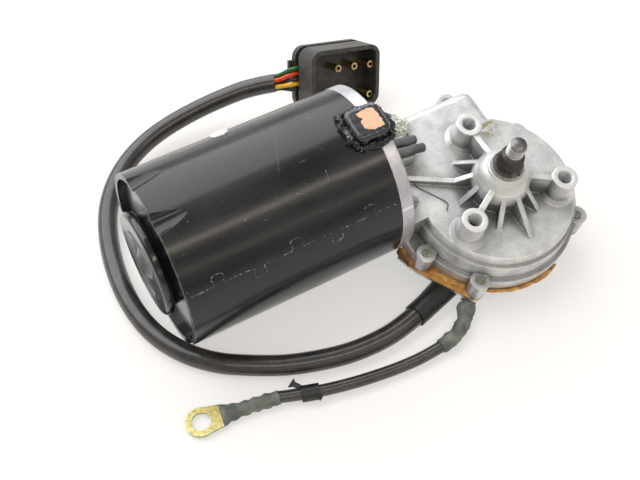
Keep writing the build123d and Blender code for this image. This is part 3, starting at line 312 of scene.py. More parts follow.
# %% Three tapped holes
BOSS_CIRCLE_R = 28.25
BOSSES = [(SHAFT[0] + BOSS_CIRCLE_R * math.cos(a), SHAFT[1] + BOSS_CIRCLE_R * math.sin(a))
          for a in (math.radians(d) for d in (90, 210, 330))]
HOLE_R, SLEEVE_R = 3.39, 3.34
TAP_DEPTH = 0.4
TAP_FOOT, TAP_RISE, TAP_ROWS = 11.6, 0.156, 56
tapped = bmesh.new()
for boss in BOSSES:
    rise = [TAP_FOOT + TAP_RISE * n for n in range(TAP_ROWS)]
    sleeve = turned([(HOLE_R, rise[0])] + [(SLEEVE_R, z) for z in rise]
                    + [(HOLE_R, rise[-1]), (HOLE_R, rise[0])], boss, 40)
    for vert in sleeve.verts:
        arm = Vector((vert.co.x - boss[0], vert.co.y - boss[1], 0))
        if arm.length < (HOLE_R + SLEEVE_R) / 2:
            cut = thread_cut(vert.co.z, math.atan2(arm.y, arm.x))
            vert.co -= arm.normalized() * TAP_DEPTH * cut
    join_onto(tapped, sleeve)
finish_piece("boss_threads", tapped)

# %% [markdown]
# ## Hub shoulder and a stray thread
#
# The hub round the shaft swells to a smooth round shoulder above the ribs. A thin shell is
# turned over the CAD hub for it. A loose black thread lies in a hook on the deck, and it is
# drawn out along a spline.

# %% The hub's shoulder and the thread on the deck
SHELL_WALL, SHELL_DROP = 0.7, 0.4
DOME = [(12.9, 12.5), (13.3, 14.0), (13.35, 16.0), (12.95, 18.2), (12.2, 20.3), (11.1, 22.2),
        (9.9, 23.8), (8.8, 24.9), (7.9, 25.25)]
inner = [(r - SHELL_WALL, z - SHELL_DROP) for r, z in reversed(DOME)]
dome = turned(DOME + inner + DOME[:1], SHAFT, 96)
finish_piece("hub_dome", dome)
STRAY_R = 0.13
STRAY = [(17.7, -18.2, 8.3), (17.0, -21.9, 8.3), (19.7, -25.4, 8.5), (23.0, -30.4, 8.3),
         (25.6, -34.0, 8.4), (25.9, -36.9, 8.5), (23.8, -37.6, 8.3), (24.1, -38.9, 8.3)]
path = smooth_path(STRAY, steps=6)
thread = drawn_out(path, [(STRAY_R, STRAY_R)] * len(path), 6)
finish_piece("stray_thread", thread)

# %% [markdown]
# ## The can's seam
#
# The can is rolled from flat sheet, and its two edges lock together with tabs like those of
# a jigsaw. Under the paint the joint shows as a fine ridge with small shadows. A thin bead
# follows the joint along the barrel: straight runs with five flared tabs that point up and
# down in turn, each about six millimetres wide.

# %% Seam line
SEAM_ANGLE = 142.5
TAB_HALF = [(-3.2, 0.0), (-2.3, 0.25), (-2.1, 1.4), (-2.9, 3.3), (-2.2, 4.5), (0.0, 4.9)]
TABS = [(-86.3, -1), (-68.2, 1), (-50.2, -1), (-32.0, 1), (-14.6, -1)]
outline = [(-98.6, 0.0), (-92.0, 0.3)]
for centre, side in TABS:
    shape = TAB_HALF + [(-x, y) for x, y in reversed(TAB_HALF[:-1])]
    outline += [(centre + x, y * side) for x, y in shape]
    outline.append((centre + 8.0, 0.35 * side))
SEAM_END = -0.6
SEAM_HALF_WIDTH = 0.24
outline = outline[:-1] + [(-6.0, -0.2), (SEAM_END, 0.2)]
seam_points = [on_can(x, SEAM_ANGLE + math.degrees(arc / CAN_R)) for x, arc in outline]
seam_path = [p for p in smooth_path(seam_points, steps=5) if p.x < SEAM_END]
seam_path = [on_can(p.x, math.degrees(math.atan2(p.z, p.y)), -0.02) for p in seam_path]
sizes = [(SEAM_HALF_WIDTH, 0.2 + 0.12 * noise.noise(p * 0.5)) for p in seam_path]
bm = drawn_out(seam_path, sizes, 8, up=on_can(0, SEAM_ANGLE).normalized())
finish_piece("can_seam", bm)

# %% [markdown]
# ## Scratches
#
# Handling leaves pale scratches in the can's paint. Each is a flat ribbon, a fraction of a
# millimetre wide and tapered by noise, just proud of the surface. It is one edge extruded
# step by step along the can.

# %% Scratches in the paint
SCRATCHES = [  # from (x, angle) to (x, angle), and the width in millimetres
    ((-37.5, 69.5), (-46.3, 98.0), 0.13), ((-24.8, 90.8), (-23.2, 94.0), 0.3),
    ((-27.2, 105.0), (-27.6, 112.5), 0.25), ((-43.4, 111.0), (-40.2, 113.0), 0.22),
    ((-72.4, 98.5), (-71.7, 97.0), 0.35), ((-68.8, 79.0), (-67.9, 80.6), 0.4),
    ((-82.0, 112.0), (-81.0, 113.5), 0.4), ((-35.6, 95.2), (-33.0, 94.6), 0.2),
    ((-21.0, 66.0), (-20.2, 68.0), 0.3), ((-39.3, 72.0), (-38.9, 76.0), 0.2),
    ((-60.0, 118.0), (-57.5, 118.6), 0.2), ((-12.0, 101.0), (-10.4, 104.5), 0.2),
    ((-88.0, 96.0), (-86.9, 97.4), 0.3), ((-52.0, 84.0), (-51.5, 86.5), 0.2),
]
PROUD = 0.012
marks = bmesh.new()
for start, stop, width in SCRATCHES:
    a = on_can(*start, PROUD)
    b = on_can(*stop, PROUD)
    cells = max(2, int((b - a).length / 2))
    side = (b - a).cross(a + b).normalized() * (width / 2)
    row = [marks.verts.new(a - side), marks.verts.new(a + side)]
    edge = marks.edges.new(row)
    for cell in range(1, cells + 1):
        share = cell / cells
        x = start[0] + (stop[0] - start[0]) * share
        spot = on_can(x, start[1] + (stop[1] - start[1]) * share, PROUD)
        made = bmesh.ops.extrude_edge_only(marks, edges=[edge])["geom"]
        ends = [part for part in made if isinstance(part, bmesh.types.BMVert)]
        edge = next(part for part in made if isinstance(part, bmesh.types.BMEdge))
        middle = (ends[0].co + ends[1].co) / 2
        narrow = 0.25 if cell == cells else 0.6 + 0.4 * noise.noise(spot * 0.9)
        for vert in ends:
            away = (vert.co - middle).normalized()
            vert.co = spot + away * (width / 2) * narrow
bmesh.ops.solidify(marks, geom=marks.faces[:], thickness=0.02)
finish_piece("paint_scratches", marks, smooth=False)

# %% [markdown]
# ## Terminal cap: label and sealant
#
# A moulded box covers the wires where they enter the can. A torn paper label is left on its
# flat top, and the box sits in a squeezed-out bead of glossy sealant. The label is one face
# with an uneven outline, thickened. The bead is a ring drawn out round the box and then
# roughened with two sizes of noise, coarse for the folds and fine for the wrinkles.

# %% Torn label and wrinkled bead
LABEL = [(1.2, 5.2), (3.2, 4.6), (3.7, 1.3), (4.0, -0.9), (4.1, -4.8), (1.2, -5.4), (-2.0, -5.2),
         (-5.0, -3.2), (-5.0, 0.4), (-3.2, 1.4), (-5.0, 2.8), (-4.6, 4.8), (-1.3, 4.9)]
CAP_TOP = 45.0
bm = bmesh.new()
bmesh.ops.contextual_create(bm, geom=[bm.verts.new((x, y, CAP_TOP + 0.02)) for x, y in LABEL])
bmesh.ops.subdivide_edges(bm, edges=bm.edges[:], cuts=3)
for vert in bm.verts:
    spot = vert.co * 1.1
    vert.co += Vector((noise.noise(spot), noise.noise(spot + Vector((9, 0, 0))), 0)) * 0.55
bmesh.ops.solidify(bm, geom=bm.faces[:], thickness=-0.14)
finish_piece("torn_label", bm, smooth=False)

CAP_MIDDLE_X = -1.7
HALF_X, HALF_Y = 9.5, 9.2
SQUARENESS = 0.45  # 1 makes the ring an oval and 0 a box
RING_POINTS = 88
BEAD_HALF_WIDTH, BEAD_HALF_HEIGHT = 1.9, 2.3
ring = []
for number in range(RING_POINTS):
    turn = math.tau * number / RING_POINTS
    x = HALF_X * math.copysign(abs(math.cos(turn)) ** SQUARENESS, math.cos(turn))
    y = HALF_Y * math.copysign(abs(math.sin(turn)) ** SQUARENESS, math.sin(turn))
    ring.append(Vector((CAP_MIDDLE_X + x, y, math.sqrt(CAN_R ** 2 - y * y) + 0.2)))
sizes = []  # less sealant came out towards the gearbox
for point in ring:
    squeezed = 1.0 if point.y < 2 or point.x < -8 else 0.5
    sizes.append(((BEAD_HALF_WIDTH + 0.7 * noise.noise(point * 0.35)) * (0.4 + 0.6 * squeezed),
                  (BEAD_HALF_HEIGHT + 1.3 * noise.noise(point * 0.5)) * squeezed))
bm = drawn_out(ring, sizes, 20, closed=True)
roughen(bm, 1.1, 0.55)
roughen(bm, 0.6, 1.6, 5.0)
finish_piece("cap_bead", bm, replaces=["cap_sealant"])

# %% [markdown]
# ## Sealants on the casting
#
# Where the cap meets the casting there is a lump of clear, grainy sealant, and an
# orange-brown sealant was spread between the casting and the cover before they were screwed
# together. It was squeezed out along the ledge. The lumps are spheres and beads pushed
# about by noise, with flat shading on the grainy one so that its grains catch the light.

# %% Clear lump and amber beads
LUMPS = [  # centre, radius and flattening
    (25.5, 7.0, 10.2, 4.4, 0.8), (21.5, 2.6, 11.5, 3.6, 0.9), (24.0, 11.6, 9.6, 3.8, 0.8),
    (19.8, 6.8, 13.0, 4.2, 0.9), (28.6, 9.0, 8.6, 2.8, 0.8), (19.4, -0.4, 12.0, 2.8, 1.0),
]
bm = bmesh.new()
for x, y, z, r, flat in LUMPS:
    place = Matrix.Translation((x, y, z)) @ Matrix.Diagonal((1, 1, flat, 1))
    bmesh.ops.create_icosphere(bm, subdivisions=4, radius=r, matrix=place)
roughen(bm, 1.5, 0.9)
roughen(bm, 0.5, 3.1, 3.0)
finish_piece("clear_sealant", bm, smooth=False)

LUG_1 = Vector((9.51, -48.50, 0))
LUG_2 = Vector((24.50, -70.97, 0))
wall_out = (LUG_2 - LUG_1).cross(Vector((0, 0, 1))).normalized()
AMBER_Z = -13.6
AMBER_R = 42.2
flange_arc = [Vector((SHAFT[0] + AMBER_R * math.cos(math.radians(d)),
                      SHAFT[1] + AMBER_R * math.sin(math.radians(d)), AMBER_Z - 0.2))
              for d in range(237, 292, 6)]
runs = [  # points, half width and half height
    ([LUG_1.lerp(LUG_2, s) + wall_out * 1.3 + Vector((0, 0, AMBER_Z))
      for s in (0.16, 0.25, 0.35, 0.45, 0.55, 0.65, 0.75, 0.84)], 2.3, 0.7),
    ([Vector((x, y, AMBER_Z))
      for x, y in ((3.9, -37.6), (3.4, -41.0), (4.0, -44.8), (4.6, -48.4))], 1.8, 1.2),
    (flange_arc, 0.9, 0.7),
]
beads = bmesh.new()
for points, width, height in runs:
    path = smooth_path(points, steps=4)
    sizes = [(width * (1 + 0.5 * noise.noise(p * 0.25)),
              height * (1 + 0.7 * noise.noise(p * 0.4))) for p in path]
    sizes[0] = sizes[-1] = (0.4, 0.3)
    run = drawn_out(path, sizes, 12)
    roughen(run, 0.3, 0.4)
    roughen(run, 0.14, 1.4, 2.0)
    join_onto(beads, run)
finish_piece("amber_sealant", beads)

# %% [markdown]
# ## Shrink tube
#
# Two sleeves of shrink tube cover the crimps of the earth lead. Tube that has shrunk on a
# crimp follows every lump under it, so each sleeve is drawn out along the lead with a width
# that swells over the crimp, and then roughened.

# %% Sleeves on the earth lead
TAB_SLEEVE = [(26.4, -50.2, 5.2), (23.5, -53.9, 5.0), (19.5, -57.6, 4.8), (14.6, -60.4, 4.5),
              (9.4, -62.1, 4.2), (4.0, -62.4, 3.95)]
TAB_HALF_WIDTH, TAB_HALF_HEIGHT = 3.35, 3.3
path = smooth_path(TAB_SLEEVE, steps=7)
sizes = []
for number, point in enumerate(path):
    share = number / (len(path) - 1)
    swell = 0.42 * math.sin(share * 17.0) + 0.9 * noise.noise(point * 0.22)
    flat = 1.15 if share < 0.25 else 1.0
    sizes.append(((TAB_HALF_WIDTH + 0.5 * swell) * flat,
                  (TAB_HALF_HEIGHT + 0.4 * swell) / flat))
sizes[-1] = (3.0, 3.0)
bm = drawn_out(path, sizes, 28)
roughen(bm, 0.5, 0.45)
roughen(bm, 0.16, 1.7, 4.0)
finish_piece("tab_shrink", bm, place=BENCH, replaces=["tab_sleeve"])

RING = Vector((-104.2, -41.9, 1.9))
PALM_REACH = 8.9  # from the ring's centre to the end of the sleeve
OVERLAP = 1.5  # of the sleeve on the lead
STEPS = 30
PALM_HALF_WIDTH, PALM_HALF_HEIGHT = 5.3, 2.1
NARROWS_BY, RISES_BY = 2.2, 0.95  # from the flat palm to the round lead
lead_end = Vector(LEAD[-1])
palm = RING + (lead_end - RING).normalized() * PALM_REACH
top = lead_end - (lead_end - Vector(LEAD[-2])).normalized() * OVERLAP
path = [palm.lerp(top, n / STEPS) for n in range(STEPS + 1)]
sizes = []
for number in range(STEPS + 1):
    share = number / STEPS
    wide = PALM_HALF_WIDTH - NARROWS_BY * min(1.0, share / 0.36) ** 0.8
    tall = PALM_HALF_HEIGHT + RISES_BY * min(1.0, share / 0.45)
    fold = 0.28 * math.sin(share * 34) * (1 - abs(2 * share - 1) ** 3)
    sizes.append((wide + fold, tall + 0.5 * fold))
bm = drawn_out(path, sizes, 28)
roughen(bm, 0.45, 0.5, 7.0)
roughen(bm, 0.18, 1.8, 1.0)
for vert in bm.verts:
    vert.co.z = max(vert.co.z, 0.05)  # the sleeve rests on the bench
lug_shrink = finish_piece("lug_shrink", bm, place=BENCH, replaces=["lug_sleeve"])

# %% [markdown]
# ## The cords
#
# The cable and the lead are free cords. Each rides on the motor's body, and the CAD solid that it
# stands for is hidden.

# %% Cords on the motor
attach(sheath, BODY)
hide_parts("motor_cable")
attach(lead, BODY)
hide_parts("ground_lead")

# %% [markdown]
# ## Colours and nodes
#
# Colours are written as the hex codes of a colour picker and turned to linear light by one
# function. One more function adds a shader node with its settings and its links, so each
# material below reads as a list of what feeds what.

# %% Helpers for materials


def linear(code):
    """An sRGB hex code such as "8a8c8e" as linear red, green, blue and alpha."""
    parts = [int(code[i:i + 2], 16) / 255 for i in (0, 2, 4)]
    return (*[p / 12.92 if p <= 0.04045 else ((p + 0.055) / 1.055) ** 2.4 for p in parts], 1.0)


def add(tree, kind, inputs=None, stops=None, **settings):
    """Adds a node. Inputs maps a socket to a value, a hex code or another node's output.

    Stops are a colour ramp's places, each with a hex code or a grey level.
    """
    made = tree.nodes.new(kind)
    for name, value in settings.items():
        setattr(made, name, value)
    for socket, value in (inputs or {}).items():
        if isinstance(value, bpy.types.NodeSocket):
            tree.links.new(value, made.inputs[socket])
        else:
            made.inputs[socket].default_value = linear(value) if isinstance(value, str) else value
    for number, (place, tone) in enumerate(stops or []):
        elements = made.color_ramp.elements
        element = elements[number] if number < len(elements) else elements.new(place)
        element.position = place
        element.color = linear(tone) if isinstance(tone, str) else (tone, tone, tone, 1)
    return made


print("white in linear light:", linear("ffffff"))

# %% A material, its blotches and its worn edges


def new_material(name, base, rough, metal=0.0, **sockets):
    """A material with its plain values set on the shader's own sockets."""
    material = bpy.data.materials.new(name)
    material.use_nodes = True
    tree = material.node_tree
    shader = tree.nodes["Principled BSDF"]
    shader.inputs["Base Color"].default_value = linear(base)
    shader.inputs["Roughness"].default_value = rough
    shader.inputs["Metallic"].default_value = metal
    for socket, value in sockets.items():
        shader.inputs[socket.replace("_", " ")].default_value = value
    return material, tree, shader


def speckle(tree, size_mm, detail=3.0, stretch=(1, 1, 1), roughness=0.5):
    """Noise in the piece's own coordinates, with blotches of a real size."""
    spot = add(tree, "ShaderNodeTexCoord").outputs["Object"]
    spot = add(tree, "ShaderNodeMapping", {"Vector": spot, "Scale": stretch}).outputs["Vector"]
    return add(tree, "ShaderNodeTexNoise", {
        "Vector": spot, "Scale": 1 / (size_mm * MM), "Detail": detail,
        "Roughness": roughness}).outputs["Fac"]


def edges_worn(tree, width_mm, low=0.80, high=0.985):
    """1 on sharp edges and 0 on flats: where a rounded normal leaves the true one."""
    soft = add(tree, "ShaderNodeBevel", {"Radius": width_mm * MM}, samples=6)
    true = add(tree, "ShaderNodeNewGeometry").outputs["Normal"]
    turn = add(tree, "ShaderNodeVectorMath", {0: soft.outputs["Normal"], 1: true},
               operation="DOT_PRODUCT").outputs["Value"]
    return add(tree, "ShaderNodeValToRGB", {"Fac": turn},
               [(low, 1.0), (high, 0.0)]).outputs["Color"]


def dress(material, *names):
    """Gives a material to CAD nodes or new pieces."""
    for name in names:
        piece = bpy.data.objects[name]
        piece.data.materials.clear()
        piece.data.materials.append(material)


print("material helpers ready")

# %% [markdown]
# ## Places on the motor
#
# A stain, a smoother hub and a machined flange each sit at a known place on the casting, and
# so do the thread and the cone on the stud. One Mapping node of the texture kind undoes the
# motor's lean and its scale, so that a mask can be written with the motor's millimetres. The
# places stand in one table, so the materials below can call them by name.

# %% Masks in the motor's frame


def motor_spot(tree):
    """The shaded point in the motor's frame, in millimetres."""
    spot = add(tree, "ShaderNodeTexCoord").outputs["Object"]
    return add(tree, "ShaderNodeMapping", {
        "Vector": spot, "Location": MOTOR.translation, "Rotation": (LEAN, 0, 0),
        "Scale": (MM, MM, MM)}, vector_type="TEXTURE").outputs["Vector"]


def near(tree, spot, place, flat, full, none):
    """1 within full millimetres of a place and 0 past none; flat weighs the three axes."""
    away = add(tree, "ShaderNodeVectorMath", {0: spot, 1: place}, operation="SUBTRACT")
    away = add(tree, "ShaderNodeVectorMath", {0: away.outputs["Vector"], 1: flat},
               operation="MULTIPLY")
    away = add(tree, "ShaderNodeVectorMath", {0: away.outputs["Vector"]}, operation="LENGTH")
    return add(tree, "ShaderNodeMapRange", {
        "Value": away.outputs["Value"], "From Min": full, "From Max": none,
        "To Min": 1.0, "To Max": 0.0}).outputs["Result"]


def product(tree, *shares):
    """All the masks at once."""
    result = shares[0]
    for share in shares[1:]:
        result = add(tree, "ShaderNodeMath", {0: result, 1: share},
                     operation="MULTIPLY").outputs["Value"]
    return result


PLACES = {  # middle, weight of each axis, full within and gone past, in millimetres
    "hub": ((*SHAFT, 20.0), (1, 1, 0.2), 13.4, 13.9),
    "machined flange": ((2.8, 0, 0), (1, 0, 0), 3.0, 3.3),
    "grease smear": ((65.2, -10.0, 8.0), (1, 1.0, 0.5), 3.0, 7.0),
    "boss rims": ((0, 0, 20.4), (0, 0, 1), 0.3, 0.6),
    "cone": ((*SHAFT, 33.0), (0, 0, 1), 3.1, 3.9),
    "thread roots": ((*SHAFT, 41.2), (1, 1, 0), 3.55, 3.8),
    "thread": ((*SHAFT, 41.2), (0, 0, 1), 3.2, 3.6),
    "stud tip": ((*SHAFT, 46.2), (0, 0, 1), 1.1, 1.5),
    "gasket at the barrel": ((-2.0, 0, 0), (1, 0, 0), 4.8, 6.4),
}
print("masks ready, places:", len(PLACES))

# %% [markdown]
# ## Die-cast aluminium
#
# The housing is pressure die-cast aluminium, left as it came out of the mould: pale grey,
# almost matte, with a fine skin of flow marks. Handling has polished its edges. Pockets are
# darkened with painted shade, which also stands for a little grime. The hub was burnished,
# the flange that meets the can was turned on a lathe, and a smear of old grease stains the
# deck. The real grain of the skin is finer than a pixel, so it is drawn about half a
# millimetre wide.

# %% Die-cast aluminium: skin, grime and painted shade
# Cast aluminium is a pale metal under a dull oxide skin, so it is half metal to the eye.
casting, tree, shader = new_material("die_cast_aluminium", "bfc1c3", 0.46, 0.62)
spot = motor_spot(tree)
clouds = speckle(tree, 7.0, 4)
skin = speckle(tree, 0.55, 5, roughness=0.65)
pores = speckle(tree, 0.9, 2)
tone = add(tree, "ShaderNodeValToRGB", {"Fac": clouds},
           [(0.3, "c8caca"), (0.5, "dcdddc"), (0.7, "ececea")]).outputs["Color"]
grain = add(tree, "ShaderNodeValToRGB", {"Fac": skin},
            [(0.32, "d2d2d2"), (0.5, "f4f4f4"), (0.68, "ffffff")]).outputs["Color"]
tone = add(tree, "ShaderNodeMix", {0: 0.8, 6: tone, 7: grain}, data_type="RGBA",
           blend_type="MULTIPLY").outputs[2]
# Painted shade: ambient occlusion darkens the pockets and the feet of the ribs, and it also stands
# for a little grime.
hollow = add(tree, "ShaderNodeAmbientOcclusion", {"Distance": 9 * MM}, samples=8)
pocket_shade_and_grime = add(tree, "ShaderNodeValToRGB", {"Fac": hollow.outputs["AO"]},
            [(0.3, "3f4346"), (0.6, "8d9192"), (0.82, "dcdedd"), (0.95, "ffffff")]).outputs["Color"]
tone = add(tree, "ShaderNodeMix", {0: 0.75, 6: tone, 7: pocket_shade_and_grime}, data_type="RGBA",
           blend_type="MULTIPLY").outputs[2]
print("casting skin:", casting.name)

# %% Worked and worn places of the casting
hub = near(tree, spot, *PLACES["hub"])
level = add(tree, "ShaderNodeSeparateXYZ", {0: spot}).outputs["Z"]
raised = add(tree, "ShaderNodeMapRange", {
    "Value": level, "From Min": 12.5, "From Max": 14.5}).outputs["Result"]
hub = product(tree, hub, raised)
flange = near(tree, spot, *PLACES["machined flange"])
turned_rings = speckle(tree, 0.8, 2, stretch=(6, 0.2, 0.2))
bright = add(tree, "ShaderNodeValToRGB", {"Fac": turned_rings},
             [(0.35, "b0afb5"), (0.65, "cfced3")]).outputs["Color"]
smear_edge = add(tree, "ShaderNodeValToRGB", {"Fac": speckle(tree, 2.6, 4)},
                 [(0.46, 0.0), (0.56, 0.85)]).outputs["Color"]
smear = near(tree, spot, *PLACES["grease smear"])
smear = product(tree, smear, smear_edge)
rims = near(tree, spot, *PLACES["boss rims"])
worn = edges_worn(tree, 0.55)
worn = product(tree, worn, add(tree, "ShaderNodeValToRGB", {"Fac": pores},
                               [(0.35, 0.25), (0.6, 1.0)]).outputs["Color"])
for share, layer in ((hub, "cfd0cd"), (flange, bright), (smear, "8e864e"), (rims, "e4e4e2"),
                     (worn, "f2f3f3")):
    tone = add(tree, "ShaderNodeMix", {0: share, 6: tone, 7: layer},
               data_type="RGBA").outputs[2]
tree.links.new(tone, shader.inputs["Base Color"])
print("casting nodes:", len(tree.nodes))

# %% Gloss and relief of the casting
gloss = add(tree, "ShaderNodeValToRGB", {"Fac": skin},
            [(0.3, 0.46), (0.7, 0.34)]).outputs["Color"]
for share in (flange, worn):
    gloss = add(tree, "ShaderNodeMix", {0: share, 6: gloss, 7: (0.3, 0.3, 0.3, 1)},
                data_type="RGBA").outputs[2]
tree.links.new(gloss, shader.inputs["Roughness"])
rounded = add(tree, "ShaderNodeBevel", {"Radius": 0.9 * MM}, samples=6).outputs["Normal"]
rough_skin = add(tree, "ShaderNodeBump", {
    "Height": skin, "Distance": 0.10 * MM, "Strength": 0.75, "Normal": rounded})
waves = add(tree, "ShaderNodeBump", {"Height": clouds, "Distance": 0.5 * MM, "Strength": 0.5,
                                     "Normal": rough_skin.outputs["Normal"]})
tree.links.new(waves.outputs["Normal"], shader.inputs["Normal"])
dress(casting, "gear_housing", "hub_dome")
print("casting dressed")

# %% Threads in cast aluminium
# A tap leaves bright metal on the crests, and the roots between them stay in shade.
cut_metal, tree, shader = new_material("cut_aluminium_thread", "e2e3e3", 0.3, 0.6)
cut_tone = add(tree, "ShaderNodeValToRGB", {"Fac": speckle(tree, 0.7, 3)},
               [(0.35, "c4c5c6"), (0.65, "f0f0f0")]).outputs["Color"]
roots = add(tree, "ShaderNodeAmbientOcclusion", {"Distance": 1.5 * MM}, samples=6)
roots = add(tree, "ShaderNodeValToRGB", {"Fac": roots.outputs["AO"]},
            [(0.35, "55585a"), (0.7, "ffffff")]).outputs["Color"]
cut_tone = add(tree, "ShaderNodeMix", {0: 0.9, 6: cut_tone, 7: roots}, data_type="RGBA",
               blend_type="MULTIPLY").outputs[2]
tree.links.new(cut_tone, shader.inputs["Base Color"])
dress(cut_metal, "boss_threads")
print("threads dressed")

# %% [markdown]
# ## Gloss black paint
#
# The can is dipped in black chassis enamel. It is glossy but not flat: the sheet under it
# was rolled, so the surface has a slight ripple, and dust dulls it unevenly. On the rim of
# the sheet the paint is rubbed and has chipped back to bright steel. The rear cap is drawn
# in a press, which leaves smoother steel, so the same enamel is glossier and clean there.

# %% Black enamel
# Enamel is a dielectric with a clear top, dull enough here that lamps show as soft bands.
enamel, tree, shader = new_material("black_enamel_on_steel", "101214", 0.3, 0.0, Coat_Weight=0.22,
                                    Coat_Roughness=0.12, Specular_IOR_Level=0.36)
dust = speckle(tree, 9.0, 5, stretch=(0.35, 1, 1))
tone = add(tree, "ShaderNodeValToRGB", {"Fac": dust},
           [(0.3, "0d0f10"), (0.55, "15181a"), (0.75, "1d2021")]).outputs["Color"]
chips = add(tree, "ShaderNodeValToRGB", {"Fac": speckle(tree, 1.6, 4)},
            [(0.47, 0.0), (0.53, 1.0)]).outputs["Color"]
bare = product(tree, edges_worn(tree, 0.35, 0.7, 0.93), chips)
specks = add(tree, "ShaderNodeValToRGB", {"Fac": speckle(tree, 0.8, 1)},
             [(0.80, 0.0), (0.82, 0.7)]).outputs["Color"]
bare = add(tree, "ShaderNodeMath", {0: bare, 1: specks}, operation="MAXIMUM").outputs["Value"]
# Painted highlight: a grey along every edge stands for light catching the rims of dents, where the
# paint is also rubbed.
edge_highlight_and_rub = edges_worn(tree, 0.7, 0.6, 0.96)
for share, layer in ((edge_highlight_and_rub, "54585a"), (bare, "b9bcbe")):
    tone = add(tree, "ShaderNodeMix", {0: share, 6: tone, 7: layer},
               data_type="RGBA").outputs[2]
tree.links.new(tone, shader.inputs["Base Color"])
gloss = add(tree, "ShaderNodeValToRGB", {"Fac": dust},
            [(0.3, 0.2), (0.7, 0.36)]).outputs["Color"]
tree.links.new(gloss, shader.inputs["Roughness"])
ripple = speckle(tree, 5.0, 2, stretch=(0.5, 1, 1))
peel = speckle(tree, 1.0, 2)
first = add(tree, "ShaderNodeBump", {"Height": ripple, "Distance": 0.05 * MM, "Strength": 0.6})
second = add(tree, "ShaderNodeBump", {"Height": peel, "Distance": 0.012 * MM, "Strength": 0.6,
                                      "Normal": first.outputs["Normal"]})
tree.links.new(second.outputs["Normal"], shader.inputs["Normal"])
dress(enamel, "motor_can")
print("enamel nodes:", len(tree.nodes))

# %% Enamel on the cap, and three small finishes
# The same enamel on smooth pressed steel gives clean, sharp reflections.
cap_paint, tree, shader = new_material("gloss_enamel_on_pressed_cap", "0e1011", 0.2, 0.0,
                                       Coat_Weight=0.4, Coat_Roughness=0.06)
tone = add(tree, "ShaderNodeValToRGB", {"Fac": speckle(tree, 12.0, 4)},
           [(0.35, "0c0e0f"), (0.7, "16191b")]).outputs["Color"]
# Painted highlight: the cap's edges are lightened to grey for the thin bright line of light along
# its rim.
tone = add(tree, "ShaderNodeMix", {0: edges_worn(tree, 0.5, 0.7, 0.97), 6: tone, 7: "3c4042"},
           data_type="RGBA").outputs[2]
tree.links.new(tone, shader.inputs["Base Color"])
dress(cap_paint, "rear_cap")

SMALL = {  # name: (base, roughness, metallic, coat, blotch mm, colour stops, node)
    # Paint over the joint is black, and its pale grey stands both for grey primer chipped bare on
    # the ridge and for painted glints of light.
    "seam_chips_and_painted_glints": ("191b1d", 0.28, 0.0, 0.4, 1.4, [
        (0.46, "0b0c0d"), (0.54, "303234"), (0.62, "85888b")], "can_seam"),
    # A scratch lays the matte grey primer bare, and fades where it is shallow.
    "scratched_primer": ("7c8082", 0.5, 0.2, 0.0, 1.2, [
        (0.4, "4a4d4f"), (0.6, "9da0a2")], "paint_scratches"),
    # Moulded white nylon has a soft shine and yellows a little.
    "white_nylon_plug": ("e4e4e0", 0.35, 0.0, 0.0, 2.0, [
        (0.35, "cfcfca"), (0.6, "ececea")], "vent_plug"),
}
for name, (base, rough, metal, coat, size, stops, node) in SMALL.items():
    small, tree, shader = new_material(name, base, rough, metal, Coat_Weight=coat)
    tone = add(tree, "ShaderNodeValToRGB", {"Fac": speckle(tree, size, 3)}, stops)
    tree.links.new(tone.outputs["Color"], shader.inputs["Base Color"])
    dress(small, node)
print("can dressed")

# %% [markdown]
# ## Steels
#
# The stud is phosphated, a dark crystalline coat that has been rubbed bright on the thread's
# crests. The cover is zinc-plated and the earth tab tinned. The ring has the yellow
# passivation that goes over zinc, and the zinc on the screws has gone dull. Inside, races
# and shaft are ground steel. All are metals, and the tone drifts with the crystal grain.
# Phosphate crystals and ground steel are finer than a pixel, so both are drawn coarser.

# %% Phosphated stud
# Phosphate is a dark, matte bed of crystals, and steel shines through where it is rubbed.
phosphate, tree, shader = new_material("phosphated_steel", "5d5a57", 0.36, 0.85)
spot = motor_spot(tree)
crystals = speckle(tree, 0.5, 4)
tone = add(tree, "ShaderNodeValToRGB", {"Fac": crystals},
           [(0.3, "4a4744"), (0.5, "6f6c69"), (0.7, "8d8a87")]).outputs["Color"]
rubbed = edges_worn(tree, 0.3, 0.75, 0.97)
cone = near(tree, spot, *PLACES["cone"])
# Painted shade: the thread's roots are darkened so that its turns show as rings.
painted_root_shade = near(tree, spot, *PLACES["thread roots"])
threaded = near(tree, spot, *PLACES["thread"])
painted_root_shade = product(tree, painted_root_shade, threaded)
tip = near(tree, spot, *PLACES["stud tip"])
for share, layer in ((rubbed, "c4c2bf"), (cone, "48443f"), (threaded, "d2d0cc"),
                     (painted_root_shade, "23211f"), (tip, "777876")):
    tone = add(tree, "ShaderNodeMix", {0: share, 6: tone, 7: layer},
               data_type="RGBA").outputs[2]
tree.links.new(tone, shader.inputs["Base Color"])
scales = add(tree, "ShaderNodeBump", {"Height": crystals, "Distance": 0.03 * MM, "Strength": 0.6})
tree.links.new(scales.outputs["Normal"], shader.inputs["Normal"])
dress(phosphate, "output_stud")
print("stud nodes:", len(tree.nodes))

